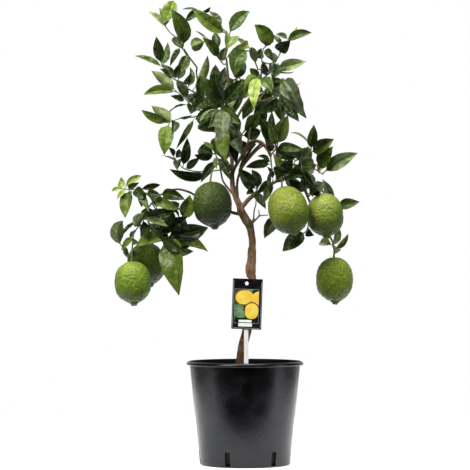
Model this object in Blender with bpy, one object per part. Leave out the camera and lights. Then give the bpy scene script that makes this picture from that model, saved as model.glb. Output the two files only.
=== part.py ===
"""Potted lemon tree: a young grafted lemon tree with six unripe fruits in a black nursery pot.

Frame: metres, +Z up, front towards -Y. The origin is the middle of the pot's foot, on the floor.
The tables below are in millimetres.
"""
from math import cos, pi, radians, sin

import bmesh
import bpy
from mathutils import Matrix, Vector
from mathutils.bvhtree import BVHTree

MM = 0.001
GAP = 0.3                 # clearance between neighbouring pieces

# Pot
POT_HEIGHT = 168.0
POT_FOOT_RADIUS = 74.0
POT_SHOULDER_RADIUS = 89.5
RIM_RADIUS = 95.0
POT_WALL = 1.6
POT_FLOOR = 2.2
WALL_FOOT = 8.0           # height where the pot's straight wall starts
RIM_DEPTH = 7.0           # height of its rolled rim
POT_SEGMENTS = 36
SLOT_COUNT = 6
SLOT_FIRST = -22.0        # degrees from the front, towards +X
SLOT_WIDTH = 8.6
SLOT_TOP = 25.0
SLOT_BOTTOM = 2.6
SLOT_DEPTH = 16.0         # of the cutter, through the wall

# Potting soil
SOIL_TOP = 144.0
SOIL_DOME = 3.0
SOIL_SEGMENTS = 32
SOCKET_FLOOR = 118.0      # foot of the stake's socket
SOCKET_REACH = 16.0       # how far the sockets' cutters stand over the soil
TRUNK_CLEARANCE = 0.8

# Tag on its stake
TAG_WIDTH = 48.4
TAG_HEIGHT = 81.6
TAG_THICK = 0.8
TAG_CENTRE = (3.3, -21.0, 261.0)
TAG_LEAN = 2.0            # degrees, top towards +X
TAG_HOLE_RADIUS = 3.0
TAG_HOLE_DROP = 7.6
TAG_HOLE_SIDE = -1.4      # of the hole from the middle of the card
STAKE_WIDTH = 7.0
STAKE_POINT_WIDTH = 2.5
STAKE_POINT_LENGTH = 14.0
STAKE_THICK = 1.4
STAKE_TOP = 287.0
STAKE_X = 1.9

# Crown: the front of the crown draws in a little towards this level
CROWN_LEVEL = 323.0
CROWN_TAPER = 1.0 / 3550.0

# Leaves
LEAF_THICK = 0.9
LEAF_FOLD = 0.22          # rise of a blade's edges over its midrib, per half width
PETIOLE = 9.0
PETIOLE_RADIUS = 0.8
PATCH = 1.3               # half length of a twig's side that a petiole grows from
BLADE = ((0.27, 0.96), (0.66, 0.90))   # along the blade, share of its width

# Fruit
LEMON_SEGMENTS = 10
STALK_RADIUS = 1.5
NECK = 3.0                # straight end of a stalk, just above its lemon
LEMON_PROFILE = ((0.0, 0.18), (0.03, 0.44), (0.12, 0.77), (0.28, 0.96), (0.46, 1.0), (0.64, 0.96),
                 (0.79, 0.81), (0.88, 0.60), (0.935, 0.36), (0.975, 0.19))

# Trunk and limbs: x, y, z, radius of points from foot to end
TRUNK = ((-8, 0, 136, 9.8), (-8, 0, 150, 9.2), (-6.5, 0, 173, 8.2), (-3, 0, 194, 7.8), (3, 0, 218, 7.6),
         (8, 0, 255, 7.0), (11.3, 0, 288, 6.6), (12.2, 0, 303, 6.4), (9.6, 0, 309, 8.3), (9.2, 0, 320, 8.8),
         (10.6, 0, 328, 7.8), (11.3, 0, 347, 7.2), (12.0, 0, 353, 6.0), (11.8, 0, 364, 6.1),
         (9.5, 0, 378, 6.2), (7, 0, 389, 7.2), (1, 0, 398, 7.2), (-6, 0, 411, 6.4), (-9, 1, 421, 5.8),
         (-14.5, 2, 433, 4.9), (-19.5, 3, 449, 4.5), (-21, 4, 470, 3.8), (-21, 5, 486, 3.4),
         (-22, 6, 520, 3.2), (-20, 6, 560, 3.0), (-24, 6, 600, 2.5), (-28, 4, 636, 2.1), (-30, 2, 658, 1.7))
LIMBS = (
    ("right", ((-7, 1, 416, 4.0), (5, -2, 429.5, 3.8), (14.6, -3, 437.7, 3.6), (27.6, 0, 446, 3.2),
               (40.6, 4, 454, 2.8), (55, 9, 462, 2.4), (70, 12, 470, 2.2), (84, 13, 476, 1.8))),
    ("arm", ((-4, 0, 406, 3.2), (-22.7, 7, 410, 2.8), (-50, 18, 424, 2.5), (-78.8, 16, 436, 2.1),
             (-89, 14, 441.7, 2.0), (-102, 12, 446, 1.9), (-112, 10, 447, 1.8), (-122, 8, 445, 1.7),
             (-131, 6, 441.5, 1.6))),
    ("arch", ((-21, 4, 476, 2.6), (-8, -3, 497, 2.4), (2, -6, 514, 2.5), (8, -9, 523, 2.8),
              (18, -12, 525.5, 2.9), (27.6, -14, 522, 3.1), (37.4, -16, 511, 2.9), (42, -17, 500, 2.4))),
    ("arch_low", ((-12, 0, 436, 2.6), (-13, -1, 452, 2.2), (-11, -1, 466, 2.1), (-6, -1, 481, 2.4),
                  (3, -5, 496, 2.3), (13, -8, 508, 2.2), (22, -11, 517, 2.2), (27, -13.5, 521, 2.0))),
    ("arch_back", ((-8, 1, 484, 2.2), (2, 0, 500, 2.6), (10, -3, 513, 2.4), (17, -6, 521, 2.0))),
    ("arch_fan", ((-21, 4, 464, 2.2), (-17, 0, 479, 2.0), (-9, -5, 493, 1.9), (0, -8, 506, 1.9),
                  (9, -10, 517, 1.9), (16, -12, 523, 1.8))),
    ("arch_front", ((-13, -1, 460, 1.8), (-9, -7, 473, 1.7), (-1, -11, 487, 1.6), (8, -14, 498, 1.6),
                    (18, -16, 509, 1.6), (28, -16, 517, 1.6))),
    ("middle", ((-9, -1, 476, 2.2), (-3, 2, 498, 2.0), (2, 4, 514, 1.9), (6, 5, 530, 1.7), (9, 6, 548, 1.4))),
    ("dark", ((-17, 3, 436, 2.2), (-26, 9, 447, 1.8), (-35.7, 12, 460.4, 1.6), (-39, 13, 475, 1.5),
              (-42, 13, 492, 1.3))),
    ("left", ((-21, 5, 540, 2.4), (-38, 8, 558, 2.2), (-55, 10, 576, 2.0), (-68, 8, 600, 1.8),
              (-76, 6, 620, 1.6), (-79, 5, 638, 1.3))),
    ("upper_right", ((-20, 6, 548, 2.4), (-6, 0, 576, 2.2), (8, -6, 596, 2.1), (20, -8, 612, 2.0),
                     (26, -7, 632, 1.7), (27.5, -6, 650, 1.4))),
    ("shoulder", ((5, -5, 591, 2.0), (22, -2, 590, 1.9), (36, -2, 592, 1.8), (45, -3, 595, 1.6))),
    ("low_right", ((64, 11, 467, 2.2), (84, 15, 461, 2.2), (96, 18, 447, 2.1), (106, 24, 425, 2.0),
                   (120, 28, 402, 2.0), (134, 24, 378, 1.9), (142, 20, 362, 1.7))),
    ("snag_left", ((7, 0, 386, 2.0), (13.5, -4, 398, 1.5), (14.8, -5, 412, 1.3), (17.6, -6, 422, 1.2),
                   (17.8, -6, 431, 0.9))),
    ("snag_right", ((8, -1, 387, 2.0), (14, -4, 394, 1.7), (20, -7, 400.5, 1.5), (23, -8, 404.5, 1.3),
                    (22, -8, 414, 0.8))),
    ("snag_out", ((20, -7, 401, 1.5), (24, -8, 403.6, 1.3), (29, -8, 404.6, 1.1), (38, -8, 405, 0.9))),
)

# Lemons: stalk from the branch, stem end, blossom tip, largest radius
LEMONS = (
    ("lemon_front", ((60, 5.6, 460.6), (60, -5, 459), (60, -18, 455)), (60.5, -24, 447), (82, -58, 373.5),
     32.3),
    ("lemon_right", ((104.8, 20.5, 437), (113, 18, 448), (121, 8, 450)), (128, -3, 438.5), (133, -20, 367),
     29.6),
    ("lemon_low_right", ((145, 7.6, 345.4),), (144.5, 6, 336), (146.5, 4, 260), 30.0),
    ("lemon_centre", ((-42.2, 10.4, 488), (-47, 0, 486), (-53, -15, 478)), (-56, -30, 458), (-49, -40, 382),
     31.3),
    ("lemon_low_left", ((-184, -22.3, 340.6),), (-184, -24, 329), (-180, -30, 257.5), 29.5),
    ("lemon_back_left", ((-170.5, 0.4, 389), (-170, 14, 384), (-168, 28, 376)), (-165, 40, 359),
     (-154, 34, 288), 31.5),
)

# Leafy shoots. Twig: points and the radius at each end. Leaf: where it leaves the twig (in points along
# it), tip x, y, z, blade width, turn of its face from the front (degrees), arch and sideways sweep.
SHOOTS = (
    ("shoot_top_left", ((-78, 1, 645), (-88, -4, 658), (-97, -6, 670), (-106, -7, 681), (-112, -8, 693),
                        (-122, -8, 702), (-131, -8, 714)), 1.4, 0.8, (
        (6.0, -117, 26, 754, 24, -12, 4, 0), (5.9, -139, 18, 742, 15, 165, 3, 0),
        (5.6, -157, -6, 736, 14, 78, 3, 0), (2.6, -120, -26, 739, 25, 8, 6, -11),
        (2.2, -117, 24, 694, 16, 20, 4, 0), (2.9, -122, -22, 647, 11, 20, 3, 3),
        (1.9, -110, -24, 632, 17, -14, 5, 3), (2.3, -85, -14, 656, 9, 70, 2, 9))),
    ("shoot_left_upper", ((-80, -1, 604), (-89, -10, 608), (-109, -16, 622), (-119, -18, 629),
                          (-128, -20, 639), (-136, -22, 650)), 1.3, 0.8, (
        (5.0, -144, -36, 695, 17, 14, 3, 1), (4.9, -125, 2, 686, 15, 150, 2, -2),
        (4.7, -179, -18, 664, 13, 62, 3, 0), (2.7, -134, 14, 650, 15, 160, 3, 0),
        (3.4, -138, -48, 643, 12, 40, 3, 3), (2.0, -104, 10, 648, 17, 10, 3, 0),
        (0.7, -61, -36, 664, 14, 160, 4, 4), (1.2, -89, 20, 645, 14, 140, 3, 0),
        (1.6, -88, -34, 636, 12, 30, 3, 0), (2.6, -105, -38, 653, 12, 10, 4, 2))),
    ("shoot_left_lower", ((-62, 14, 572), (-76, 18, 576), (-89, 20, 585), (-97, 21, 594),
                          (-113, 22, 607)), 1.3, 0.8, (
        (4.0, -152, 34, 639, 18, 170, 4, 0), (3.9, -165, 2, 601, 18, 30, 6, -2),
        (3.0, -121, 0, 599, 12, 30, 2, 3), (2.5, -111, 44, 625, 17, 12, 3, 0),
        (2.0, -126, 30, 563, 10, 66, 9, 6), (1.2, -88, 52, 602, 20, 10, 4, 0),
        (1.5, -88, -12, 570, 22, -8, 3, 0))),
    ("shoot_top_centre", ((-32, 1, 663), (-28, -3, 679), (-26, -6, 696), (-44, 0, 714), (-64, 6, 730),
                          (-74, 8, 738)), 1.4, 0.7, (
        (2.1, -85, -28, 740, 22, 14, 5, 3), (1.8, -31, -42, 675, 23, -4, 10, 0),
        (2.0, 8, 18, 736, 21, 8, 3, 6), (2.6, -60, 26, 737, 14, 40, 3, 0), (5.0, -103, 14, 739, 6, 40, 2, 0),
        (4.8, -56, 14, 743, 8, 50, 2, 0), (4.4, -97, -4, 719, 13, 28, 5, -4))),
    ("shoot_top_middle", ((-35, 8, 650), (-49, 16, 668), (-58, 20, 681), (-64, 22, 689)), 1.3, 0.8, (
        (0.5, -69, -10, 693, 18, 16, 4, 0), (3.0, -87, 8, 677, 22, 155, 5, 0),
        (2.8, -80, 46, 704, 12, 70, 2, -3), (0.9, -48, 44, 702, 15, 20, 3, 0),
        (0.2, -31, -4, 678, 14, -16, 3, 0), (1.8, -50, 48, 684, 14, 30, 3, 0))),
    ("shoot_top_right", ((21, -12, 642), (16, -16, 655), (10, -18, 671), (6, -19, 679)), 1.2, 0.8, (
        (3.0, -16, -34, 678, 14, 10, 6, -5), (2.8, -15, 6, 693, 10, 40, 3, 4),
        (2.4, -16, -44, 629, 28, -4, 4, -13), (2.0, -29, -34, 660, 9, 70, 3, -8),
        (0.5, 10, -40, 678, 13, 168, 3, 0), (1.4, 28, 14, 672, 16, 20, 3, 0))),
    ("shoot_right_tuft", ((27, -10, 655), (28, -12, 665), (29.5, -13, 676)), 1.0, 0.8, (
        (2.0, 15, -22, 714, 25, 6, 5, -12), (1.7, 45, -24, 657, 13, -10, 4, 4),
        (0.4, 36, 16, 631, 12, 10, 3, 0))),
    ("shoot_upper_right", ((31, -6, 653), (40, -8, 651), (50, -9, 656), (57, -8, 668), (64, -4, 680),
                           (72, -2, 690)), 1.5, 0.9, (
        (3.0, 74, -30, 689, 22, 6, 4, 5), (5.0, 50, 16, 699, 11, 24, 3, 0),
        (4.9, 84, 20, 711, 12, 160, 2, 0), (4.8, 108, -14, 701, 15, -18, 4, 4),
        (3.8, 45, 4, 699, 12, 50, 2, 3))),
    ("shoot_right_upper", ((29, 1, 627), (38, 8, 634), (48, 12, 644), (54, 14, 652)), 1.3, 0.9, (
        (3.0, 44, -14, 625, 22, 4, 6, 4), (2.4, 99, 0, 655, 20, -12, 5, -6),
        (1.0, 40, -22, 652, 11, 150, 3, 0), (1.9, 80, 26, 638, 10, 84, 3, 2),
        (2.7, 34, 34, 668, 16, 30, 4, 0))),
    ("shoot_shoulder", ((49, -6, 597), (54, -24, 604), (57, -38, 615), (58, -44, 627)), 1.5, 1.0, (
        (3.0, 99, -72, 562, 34, 24, 10, 15), (2.8, 75, -88, 590, 15, 40, 4, 3),
        (0.5, 87, -70, 557, 29, 12, 5, 6), (0.8, 17, -76, 571, 17, -26, 5, 8),
        (1.4, 34, -64, 622, 17, 4, 3, 0), (2.2, 91, -6, 620, 13, 60, 3, 0),
        (1.8, 46, -8, 618, 16, 20, 2, 0))),
    ("shoot_upper_centre", ((21, -14, 616), (22, -36, 622), (23, -56, 628), (24, -68, 633)), 1.4, 0.9, (
        (2.5, -2, -96, 594, 27, -6, 6, -4), (3.0, 15, -112, 577, 19, 16, 6, -3),
        (1.2, 8, -40, 644, 14, 30, 2, 0), (1.7, 44, -84, 604, 20, -10, 4, 3))),
    ("shoot_centre", ((-25, 0, 577), (-32, -22, 580), (-37, -44, 583), (-38, -58, 590)), 1.5, 1.0, (
        (2.9, -67, -66, 630, 20, 14, 4, 4), (3.0, -51, -84, 626, 18, -22, 3, -2),
        (2.4, -2, -66, 626, 25, -10, 4, -3), (1.6, -10, -88, 563, 19, 10, 6, 0),
        (2.0, -14, -90, 592, 12, 150, 3, 0), (1.2, -64, -34, 604, 22, 0, 5, 0))),
    ("shoot_centre_low", ((-27, -1, 566), (-34, -26, 571), (-38, -52, 577), (-39, -72, 578)), 1.4, 0.9, (
        (3.0, -42, -110, 521, 25, -8, 9, 4), (2.7, -59, -102, 547, 19, 12, 5, 0),
        (2.2, -73, -78, 556, 8, 60, 5, -6), (1.6, -81, -50, 561, 19, 20, 4, 0),
        (2.4, -8, -100, 552, 18, 20, 5, 0), (1.2, -12, -58, 540, 21, -10, 5, 0))),
    ("shoot_centre_left", ((-59, 2, 582), (-64, -6, 588), (-67, -12, 594)), 1.2, 0.9, (
        (2.0, -72, -24, 632, 14, -18, 3, 3), (1.6, -84, -44, 575, 22, 14, 5, 0),
        (1.0, -41, -24, 604, 18, 10, 4, 0), (0.6, -92, 14, 590, 18, 10, 3, 0))),
    ("shoot_middle", ((-25, 0, 543), (-31, -20, 546), (-37, -38, 549)), 1.3, 0.9, (
        (2.0, -31, -72, 493, 25, 6, 8, 3), (1.7, -77, -58, 546, 20, -10, 4, -3),
        (0.7, -5, -42, 503, 22, -12, 4, 0), (1.2, -12, -72, 532, 21, 10, 4, 0),
        (1.0, -46, -56, 506, 15, 20, 4, 0),
        (0.4, -14, -42, 487, 18, 0, 4, 2))),
    ("shoot_middle_low", ((-44, 10, 495), (-47, 6, 502), (-50, 0, 509)), 1.1, 0.9, (
        (0.6, -25, -20, 463, 17, -8, 4, 3), (1.6, -82, -6, 503, 13, -34, 3, 3),
        (2.0, -68, 6, 524, 9, 40, 2, 0), (1.2, -76, 40, 512, 20, 10, 4, 0),
        (1.0, -46, -24, 480, 9, 30, 2, 0), (0.2, -72, -12, 458, 14, 10, 3, 0))),
    ("shoot_left_middle", ((-42, 16, 478), (-60, 20, 476), (-80, 20, 476), (-98, 18, 480), (-107, 16, 488),
                           (-116, 14, 500)), 1.2, 0.8, (
        (0.8, -122, -8, 480, 16, -16, 4, 9), (3.3, -94, 0, 531, 16, 4, 4, 0),
        (3.0, -73, -2, 499, 13, -20, 3, -2), (4.5, -110, -18, 478, 14, 10, 4, 3),
        (5.0, -124, 6, 515, 10, 40, 2, 0), (4.9, -106, 24, 512, 11, 20, 2, 0),
        (4.0, -136, 24, 502, 9, 70, 2, 0))),
    ("shoot_left_tuft", ((-58, 2, 571), (-72, -14, 568), (-86, -26, 564), (-100, -34, 563), (-112, -39, 560),
                         (-124, -42, 555)), 1.2, 0.8, (
        (5.0, -131, -66, 503, 25, 6, 5, -3), (4.9, -168, -50, 576, 15, -16, 3, 2),
        (4.6, -152, -10, 582, 20, 160, 4, -2), (3.6, -85, -56, 567, 8, 60, 2, 3),
        (4.4, -118, -68, 538, 14, -20, 3, 0), (1.7, -112, -46, 513, 11, 34, 4, 4),
        (1.0, -72, -52, 550, 13, 10, 3, 0))),
    ("shoot_arm_tip", ((-151, 1, 430), (-160, -4, 440), (-175, -7, 446), (-190, -8, 447),
                       (-204, -8, 448)), 1.2, 0.8, (
        (4.0, -217, -16, 444, 8, 30, 2, 0), (3.9, -201, 4, 467, 14, 160, 2, -3),
        (3.8, -168, 8, 469, 11, -20, 3, 3), (3.5, -172, -22, 458, 10, 20, 3, 2),
        (1.8, -137, 2, 454, 11, 24, 3, 3), (3.3, -195, -28, 401, 20, 8, 4, 0),
        (3.7, -208, -26, 431, 9, 20, 2, 0), (3.1, -186, -36, 424, 9, 30, 2, 0),
        (2.7, -160, -34, 430, 17, -8, 4, 2), (1.4, -168, -32, 418, 14, 10, 4, 0),
        (1.1, -137, -26, 438, 12, -20, 3, 0),
        (2.3, -156, -38, 410, 13, 10, 4, 0))),
    ("shoot_arm", ((-134, 5, 440), (-141, 4, 435), (-151, 2, 425), (-157, 0, 417), (-163, -2, 407),
                   (-169, -3, 394), (-175, -4, 384), (-182, -5, 373), (-191, -7, 362), (-200, -8, 352)),
     1.6, 0.9, (
        (0.6, -98, -22, 430, 18, 6, 5, 3), (1.8, -105, -34, 413, 16, -6, 7, 5),
        (4.3, -114, -18, 411, 21, 10, 6, -4), (4.7, -124, -30, 386, 11, -30, 4, 3),
        (3.4, -180, -30, 386, 16, 165, 4, 0), (5.0, -200, -14, 370, 10, 52, 4, -3),
        (7.2, -201, -26, 348, 11, 20, 3, 2), (9.0, -198, -36, 396, 22, 165, 3, -9),
        (8.7, -189, -22, 334, 9, 20, 2, 0), (6.3, -187, 18, 364, 9, 60, 2, 0),
        (4.6, -168, 26, 364, 18, 10, 4, 0))),
    ("shoot_fan", ((-159, 6, 400), (-154, 10, 387), (-147, 12, 377), (-136, 12, 370), (-125, 11, 365)),
     1.5, 1.0, (
        (2.9, -93, -8, 402, 19, 8, 4, 4), (3.7, -60, 6, 384, 31, -6, 5, -1),
        (4.0, -76, -24, 366, 19, 10, 5, 3), (3.9, -60, 26, 347, 29, -12, 3, 1),
        (3.5, -109, -34, 275, 45, 4, 8, 18), (3.3, -93, -48, 340, 17, 12, 6, 0),
        (3.0, -178, -22, 354, 25, 20, 6, 7), (1.6, -171, -26, 353, 16, 14, 3, 0),
        (1.0, -163, -26, 367, 10, 24, 3, 0), (2.3, -120, 52, 388, 22, 10, 4, 0))),
    ("shoot_fan_upper", ((-134, 9, 375), (-121, 4, 384), (-110, 1, 393), (-104, 0, 400)), 1.2, 0.9, (
        (3.0, -90, -14, 438, 24, -8, 3, -4), (2.7, -120, -18, 417, 9, 40, 3, 0),
        (2.0, -88, 34, 372, 22, 14, 4, 0))),
    ("shoot_fruit_left", ((-180, -9, 380), (-182, -14, 368), (-183, -19, 354), (-184, -22, 342)), 1.4, 1.3, (
        (1.4, -172, -50, 360, 11, 20, 3, 0), (2.4, -176, -4, 342, 10, 20, 3, 0))),
    ("shoot_right_centre", ((44, -21, 505), (48, -40, 510), (53, -56, 518)), 1.5, 1.0, (
        (2.0, 70, -86, 567, 25, 8, 4, 3), (1.8, 24, -76, 563, 24, -10, 4, -4),
        (1.9, 38, -96, 556, 14, 40, 3, 0), (1.4, 99, -80, 510, 15, -8, 8, 4),
        (1.1, 83, -58, 498, 17, 8, 8, 4), (1.5, 44, -34, 574, 15, 16, 3, 0),
        (0.7, 32, -76, 530, 12, 30, 3, 0))),
    ("shoot_arch_tip", ((42, -18, 496), (43, -21, 487), (44, -24, 478)), 1.2, 0.9, (
        (1.0, 1, -36, 483, 14, -6, 4, -3), (0.4, 20, -28, 501, 9, 30, 2, 0),
        (0.7, 25, -10, 493, 8, 40, 2, 0), (1.6, 41, -34, 440, 9, 50, 3, 0),
        (1.8, 72, -46, 478, 19, 20, 5, 3))),
    ("shoot_right_low", ((57, 3, 464), (60, -6, 466), (66, -12, 464)), 1.4, 1.0, (
        (0.9, 46, -40, 506, 20, 4, 4, 4), (1.9, 78, -40, 498, 21, -8, 4, 3),
        (1.3, 98, -30, 470, 18, 10, 5, 2))),
    ("shoot_front_low", ((15, -9, 441), (18, -14, 444), (22, -20, 452)), 1.3, 1.0, (
        (1.0, -10, -40, 481, 22, 8, 4, 4), (0.8, 11, -18, 479, 17, 24, 3, -2),
        (0.5, 34, -34, 415, 14, -10, 4, -3), (0.2, 2, -22, 439, 12, 24, 3, 0))),
    ("shoot_front_right", ((41, -1, 451), (43, -8, 456), (46, -14, 463)), 1.3, 0.9, (
        (0.6, 20, -32, 442, 15, -10, 4, -3), (2.0, 36, -10, 484, 10, 40, 2, 0),
        (1.6, 30, -46, 424, 14, 20, 4, 0))),
    ("shoot_behind_lemons", ((98, 13, 449), (101, 7, 441), (103, 3, 436)), 1.3, 1.0, (
        (1.0, 98, -20, 477, 22, 6, 4, 2), (1.3, 70, -6, 463, 14, 12, 4, 0),
        (1.8, 127, 6, 459, 24, 14, 5, -3), (2.0, 111, -36, 452, 14, 40, 7, -6),
        (0.7, 110, 34, 471, 14, 20, 4, 0))),
    ("shoot_right_reach", ((87, 14, 479), (88, 9, 489), (91, 4, 497), (101, 0, 501), (106, -2, 507),
                           (108, -2, 514)), 1.3, 0.9, (
        (5.0, 74, -8, 539, 11, 68, 6, -4), (4.7, 112, -12, 552, 17, 4, 3, 2),
        (4.5, 144, -20, 529, 22, -10, 4, -3), (1.6, 70, -22, 503, 15, 20, 5, 0),
        (1.3, 112, -20, 452, 14, 50, 12, 10), (1.0, 104, 38, 516, 20, 20, 4, 0))),
    ("shoot_far_right", ((91, 16, 482), (107, 13, 483), (118, 8, 477), (127, 5, 471)), 1.2, 0.9, (
        (3.0, 183, -12, 506, 24, -16, 3, 3), (2.0, 142, -6, 517, 26, -28, 4, -3),
        (1.6, 104, -10, 490, 10, 30, 2, 0), (2.4, 116, 36, 488, 12, 140, 2, 0))),
    ("shoot_behind_right", ((121, 31, 405), (135, 32, 414), (147, 31, 420)), 1.2, 0.9, (
        (2.0, 186, 20, 427, 19, -20, 3, -3), (1.4, 126, 26, 463, 17, 20, 4, 0),
        (1.1, 120, 62, 440, 20, 10, 4, 0))),
    ("shoot_fruit_right", ((143, 16, 357), (144, 11, 351), (145, 8, 347)), 1.4, 1.2, (
        (0.6, 121, -14, 361, 16, 150, 3, 0), (1.4, 168, 0, 375, 10, 20, 2, -3),
        (1.0, 156, 36, 349, 14, 150, 3, 0), (0.9, 151, 26, 388, 15, 150, 3, 0))),
    ("shoot_under_front", ((108, 20, 417), (104, 13, 400), (102, 6, 385), (99, 2, 377)), 1.3, 1.0, (
        (3.0, 61, -16, 346, 25, 10, 5, -2), (2.6, 112, -22, 372, 14, 24, 3, 0))),
    ("shoot_under_centre", ((101, 17, 411), (84, 18, 406), (68, 14, 401), (54, 8, 396)), 1.2, 0.9, (
        (3.0, 32, -6, 367, 21, -14, 3, -8), (2.0, 52, 44, 428, 22, 10, 4, 0))),
    ("shoot_inner_left", ((-52, 16, 579), (-50, 30, 588), (-48, 42, 598)), 1.3, 0.9, (
        (2.0, -76, 62, 612, 24, 10, 4, 0), (1.8, -28, 66, 622, 24, -10, 4, 0),
        (1.2, -88, 44, 580, 22, 20, 4, 0), (0.9, -56, 62, 560, 22, 160, 4, 0),
        (1.5, -34, 78, 584, 22, 10, 5, 0), (1.9, -48, 52, 650, 20, 10, 4, 0),
        (1.7, -32, 60, 646, 18, 10, 4, 0))),
    ("shoot_inner_right", ((24, 3, 594), (28, 16, 600), (32, 28, 606)), 1.3, 0.9, (
        (2.0, 60, 40, 624, 23, 10, 4, 0), (1.8, 4, 46, 626, 23, -10, 4, 0),
        (1.3, 52, 56, 586, 24, 10, 5, 0), (0.9, -4, 34, 560, 22, 20, 4, 0),
        (1.6, 76, 34, 600, 22, -10, 4, 0), (0.6, 26, 40, 548, 22, 10, 4, 0))),
    ("shoot_inner_middle", ((-17, 9, 523), (-8, 18, 532), (-2, 26, 541)), 1.3, 0.9, (
        (2.0, 20, 46, 566, 22, 10, 4, 0), (1.8, -30, 50, 562, 23, 10, 4, 0),
        (1.0, -26, 44, 500, 21, 20, 5, 0), (1.4, 26, 26, 542, 20, 20, 4, 0),
        (1.8, 24, 20, 576, 20, 10, 4, 0), (0.7, 1, 24, 505, 18, 10, 4, 0))),
    ("shoot_inner_low", ((73, 16, 476), (78, 26, 486), (82, 34, 495)), 1.3, 0.9, (
        (2.0, 58, 50, 516, 22, 10, 4, 0), (1.8, 104, 52, 510, 20, 10, 4, 0),
        (1.0, 60, 38, 478, 21, 20, 4, 0), (1.2, 108, 46, 468, 22, 160, 4, 0),
        (1.5, 84, 64, 466, 20, 10, 4, 0))),
    ("shoot_inner_arm", ((-149, 8, 421), (-144, 14, 414), (-138, 18, 409)), 1.2, 0.9, (
        (2.0, -106, 24, 424, 20, 10, 4, 0), (1.8, -112, 36, 398, 20, -10, 4, 0),
        (1.0, -168, 28, 400, 18, 20, 4, 0), (1.3, -150, 40, 440, 20, 20, 4, 0))),
    ("shoot_inner_fan", ((-129, 17, 361), (-122, 24, 353), (-116, 29, 347)), 1.2, 0.9, (
        (2.0, -78, 44, 376, 24, 10, 5, 0), (1.8, -96, 40, 398, 22, -10, 4, 0),
        (1.0, -156, 42, 392, 22, 20, 4, 0), (1.5, -84, 50, 346, 20, 160, 4, 0))),
    ("shoot_back_upper", ((-21, 12, 602), (-20, 40, 614), (-16, 72, 622), (-10, 98, 630)), 1.5, 0.9, (
        (3.0, 8, 136, 602, 26, -10, 6, 0), (2.8, -46, 138, 606, 26, 10, 6, 0),
        (2.3, 30, 92, 606, 24, 10, 5, 0), (1.6, -66, 78, 600, 25, 170, 5, 0),
        (1.2, -20, 82, 566, 25, 160, 5, 0), (2.5, -20, 120, 566, 25, 170, 6, 0),
        (1.9, -2, 74, 660, 20, 20, 4, 0))),
    ("shoot_back_right", ((40, 3, 595), (48, 32, 597), (56, 64, 598), (62, 88, 600)), 1.5, 0.9, (
        (3.0, 84, 128, 582, 25, -10, 6, 0), (2.7, 34, 122, 612, 25, 10, 5, 0),
        (2.0, 88, 76, 572, 23, 10, 5, 0), (1.4, 20, 70, 584, 24, 20, 5, 0),
        (2.4, 60, 106, 556, 24, 165, 6, 0), (1.7, 62, 56, 628, 20, 10, 4, 0))),
    ("shoot_back_middle", ((-25, 12, 520), (-32, 40, 526), (-40, 70, 532), (-44, 92, 538)), 1.5, 0.9, (
        (3.0, -74, 126, 554, 25, 10, 6, 0), (2.8, -16, 132, 548, 25, -10, 6, 0),
        (2.2, -66, 84, 574, 23, 10, 5, 0), (1.6, -4, 74, 536, 22, 10, 5, 0),
        (1.2, -34, 76, 490, 23, 170, 5, 0), (2.5, -40, 108, 500, 22, 170, 5, 0))),
    ("shoot_back_low", ((76, 18, 474), (79, 44, 478), (80, 70, 482), (82, 90, 488)), 1.5, 0.9, (
        (3.0, 108, 124, 470, 23, 10, 6, 0), (2.8, 56, 130, 484, 23, -10, 6, 0),
        (2.2, 50, 78, 458, 23, 10, 5, 0), (1.6, 112, 76, 494, 22, 20, 5, 0),
        (1.2, 84, 80, 444, 22, 170, 5, 0))),
)

# How far a leaf's tip may be drawn forward or back, and its face turned, to clear its neighbours
EASE_DEPTH = (0, -8, 8, -16, 16, -25, 25, -35, 35, -46, 46, -60, 60)
EASE_TURN = (0, 18, -18, 36, -36)
LEAF_CLEARANCE = 0.4

MATERIALS = {
    "pot_plastic": ((0.012, 0.012, 0.013), 0.32, 0.0),
    "potting_soil": ((0.035, 0.022, 0.014), 0.95, 0.0),
    "bark": ((0.19, 0.115, 0.06), 0.85, 0.0),
    "leaf": ((0.05, 0.13, 0.015), 0.38, 0.0),
    "lemon_skin": ((0.22, 0.36, 0.03), 0.42, 0.0),
    "tag_card": ((0.02, 0.02, 0.02), 0.35, 0.0),
    "stake_plastic": ((0.8, 0.8, 0.78), 0.45, 0.0),
}


def clear_scene():
    for old in list(bpy.data.objects):
        bpy.data.objects.remove(old, do_unlink=True)


def make_materials():
    made = {}
    for name, (colour, roughness, metallic) in MATERIALS.items():
        material = bpy.data.materials.new(name)
        material.use_nodes = True
        shader = material.node_tree.nodes["Principled BSDF"]
        shader.inputs["Base Color"].default_value = (*colour, 1.0)
        shader.inputs["Roughness"].default_value = roughness
        shader.inputs["Metallic"].default_value = metallic
        made[name] = material
    return made


def finish(bm, name, material, origin=(0, 0, 0), smooth=40.0):
    """Store a bmesh as an object whose origin is at the given point."""
    bmesh.ops.recalc_face_normals(bm, faces=bm.faces)
    bmesh.ops.translate(bm, verts=bm.verts, vec=-Vector(origin))
    mesh = bpy.data.meshes.new(name)
    bm.to_mesh(mesh)
    bm.free()
    mesh.materials.append(material)
    mesh.shade_smooth()
    mesh.set_sharp_from_angle(angle=radians(smooth))
    obj = bpy.data.objects.new(name, mesh)
    obj.location = origin
    bpy.context.scene.collection.objects.link(obj)
    return obj


def cut(obj, cutters):
    """Subtract cutters, which stay hidden as wire guides."""
    for cutter in cutters:
        cutter.hide_render = True
        cutter.display_type = "WIRE"
        modifier = obj.modifiers.new(cutter.name, "BOOLEAN")
        modifier.operation = "DIFFERENCE"
        modifier.solver = "EXACT"
        modifier.object = cutter


def place(x, y, z):
    """A point of the crown, in metres."""
    share = 1.0 + y * CROWN_TAPER
    return Vector((x * share, y, CROWN_LEVEL + (z - CROWN_LEVEL) * share)) * MM


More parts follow.
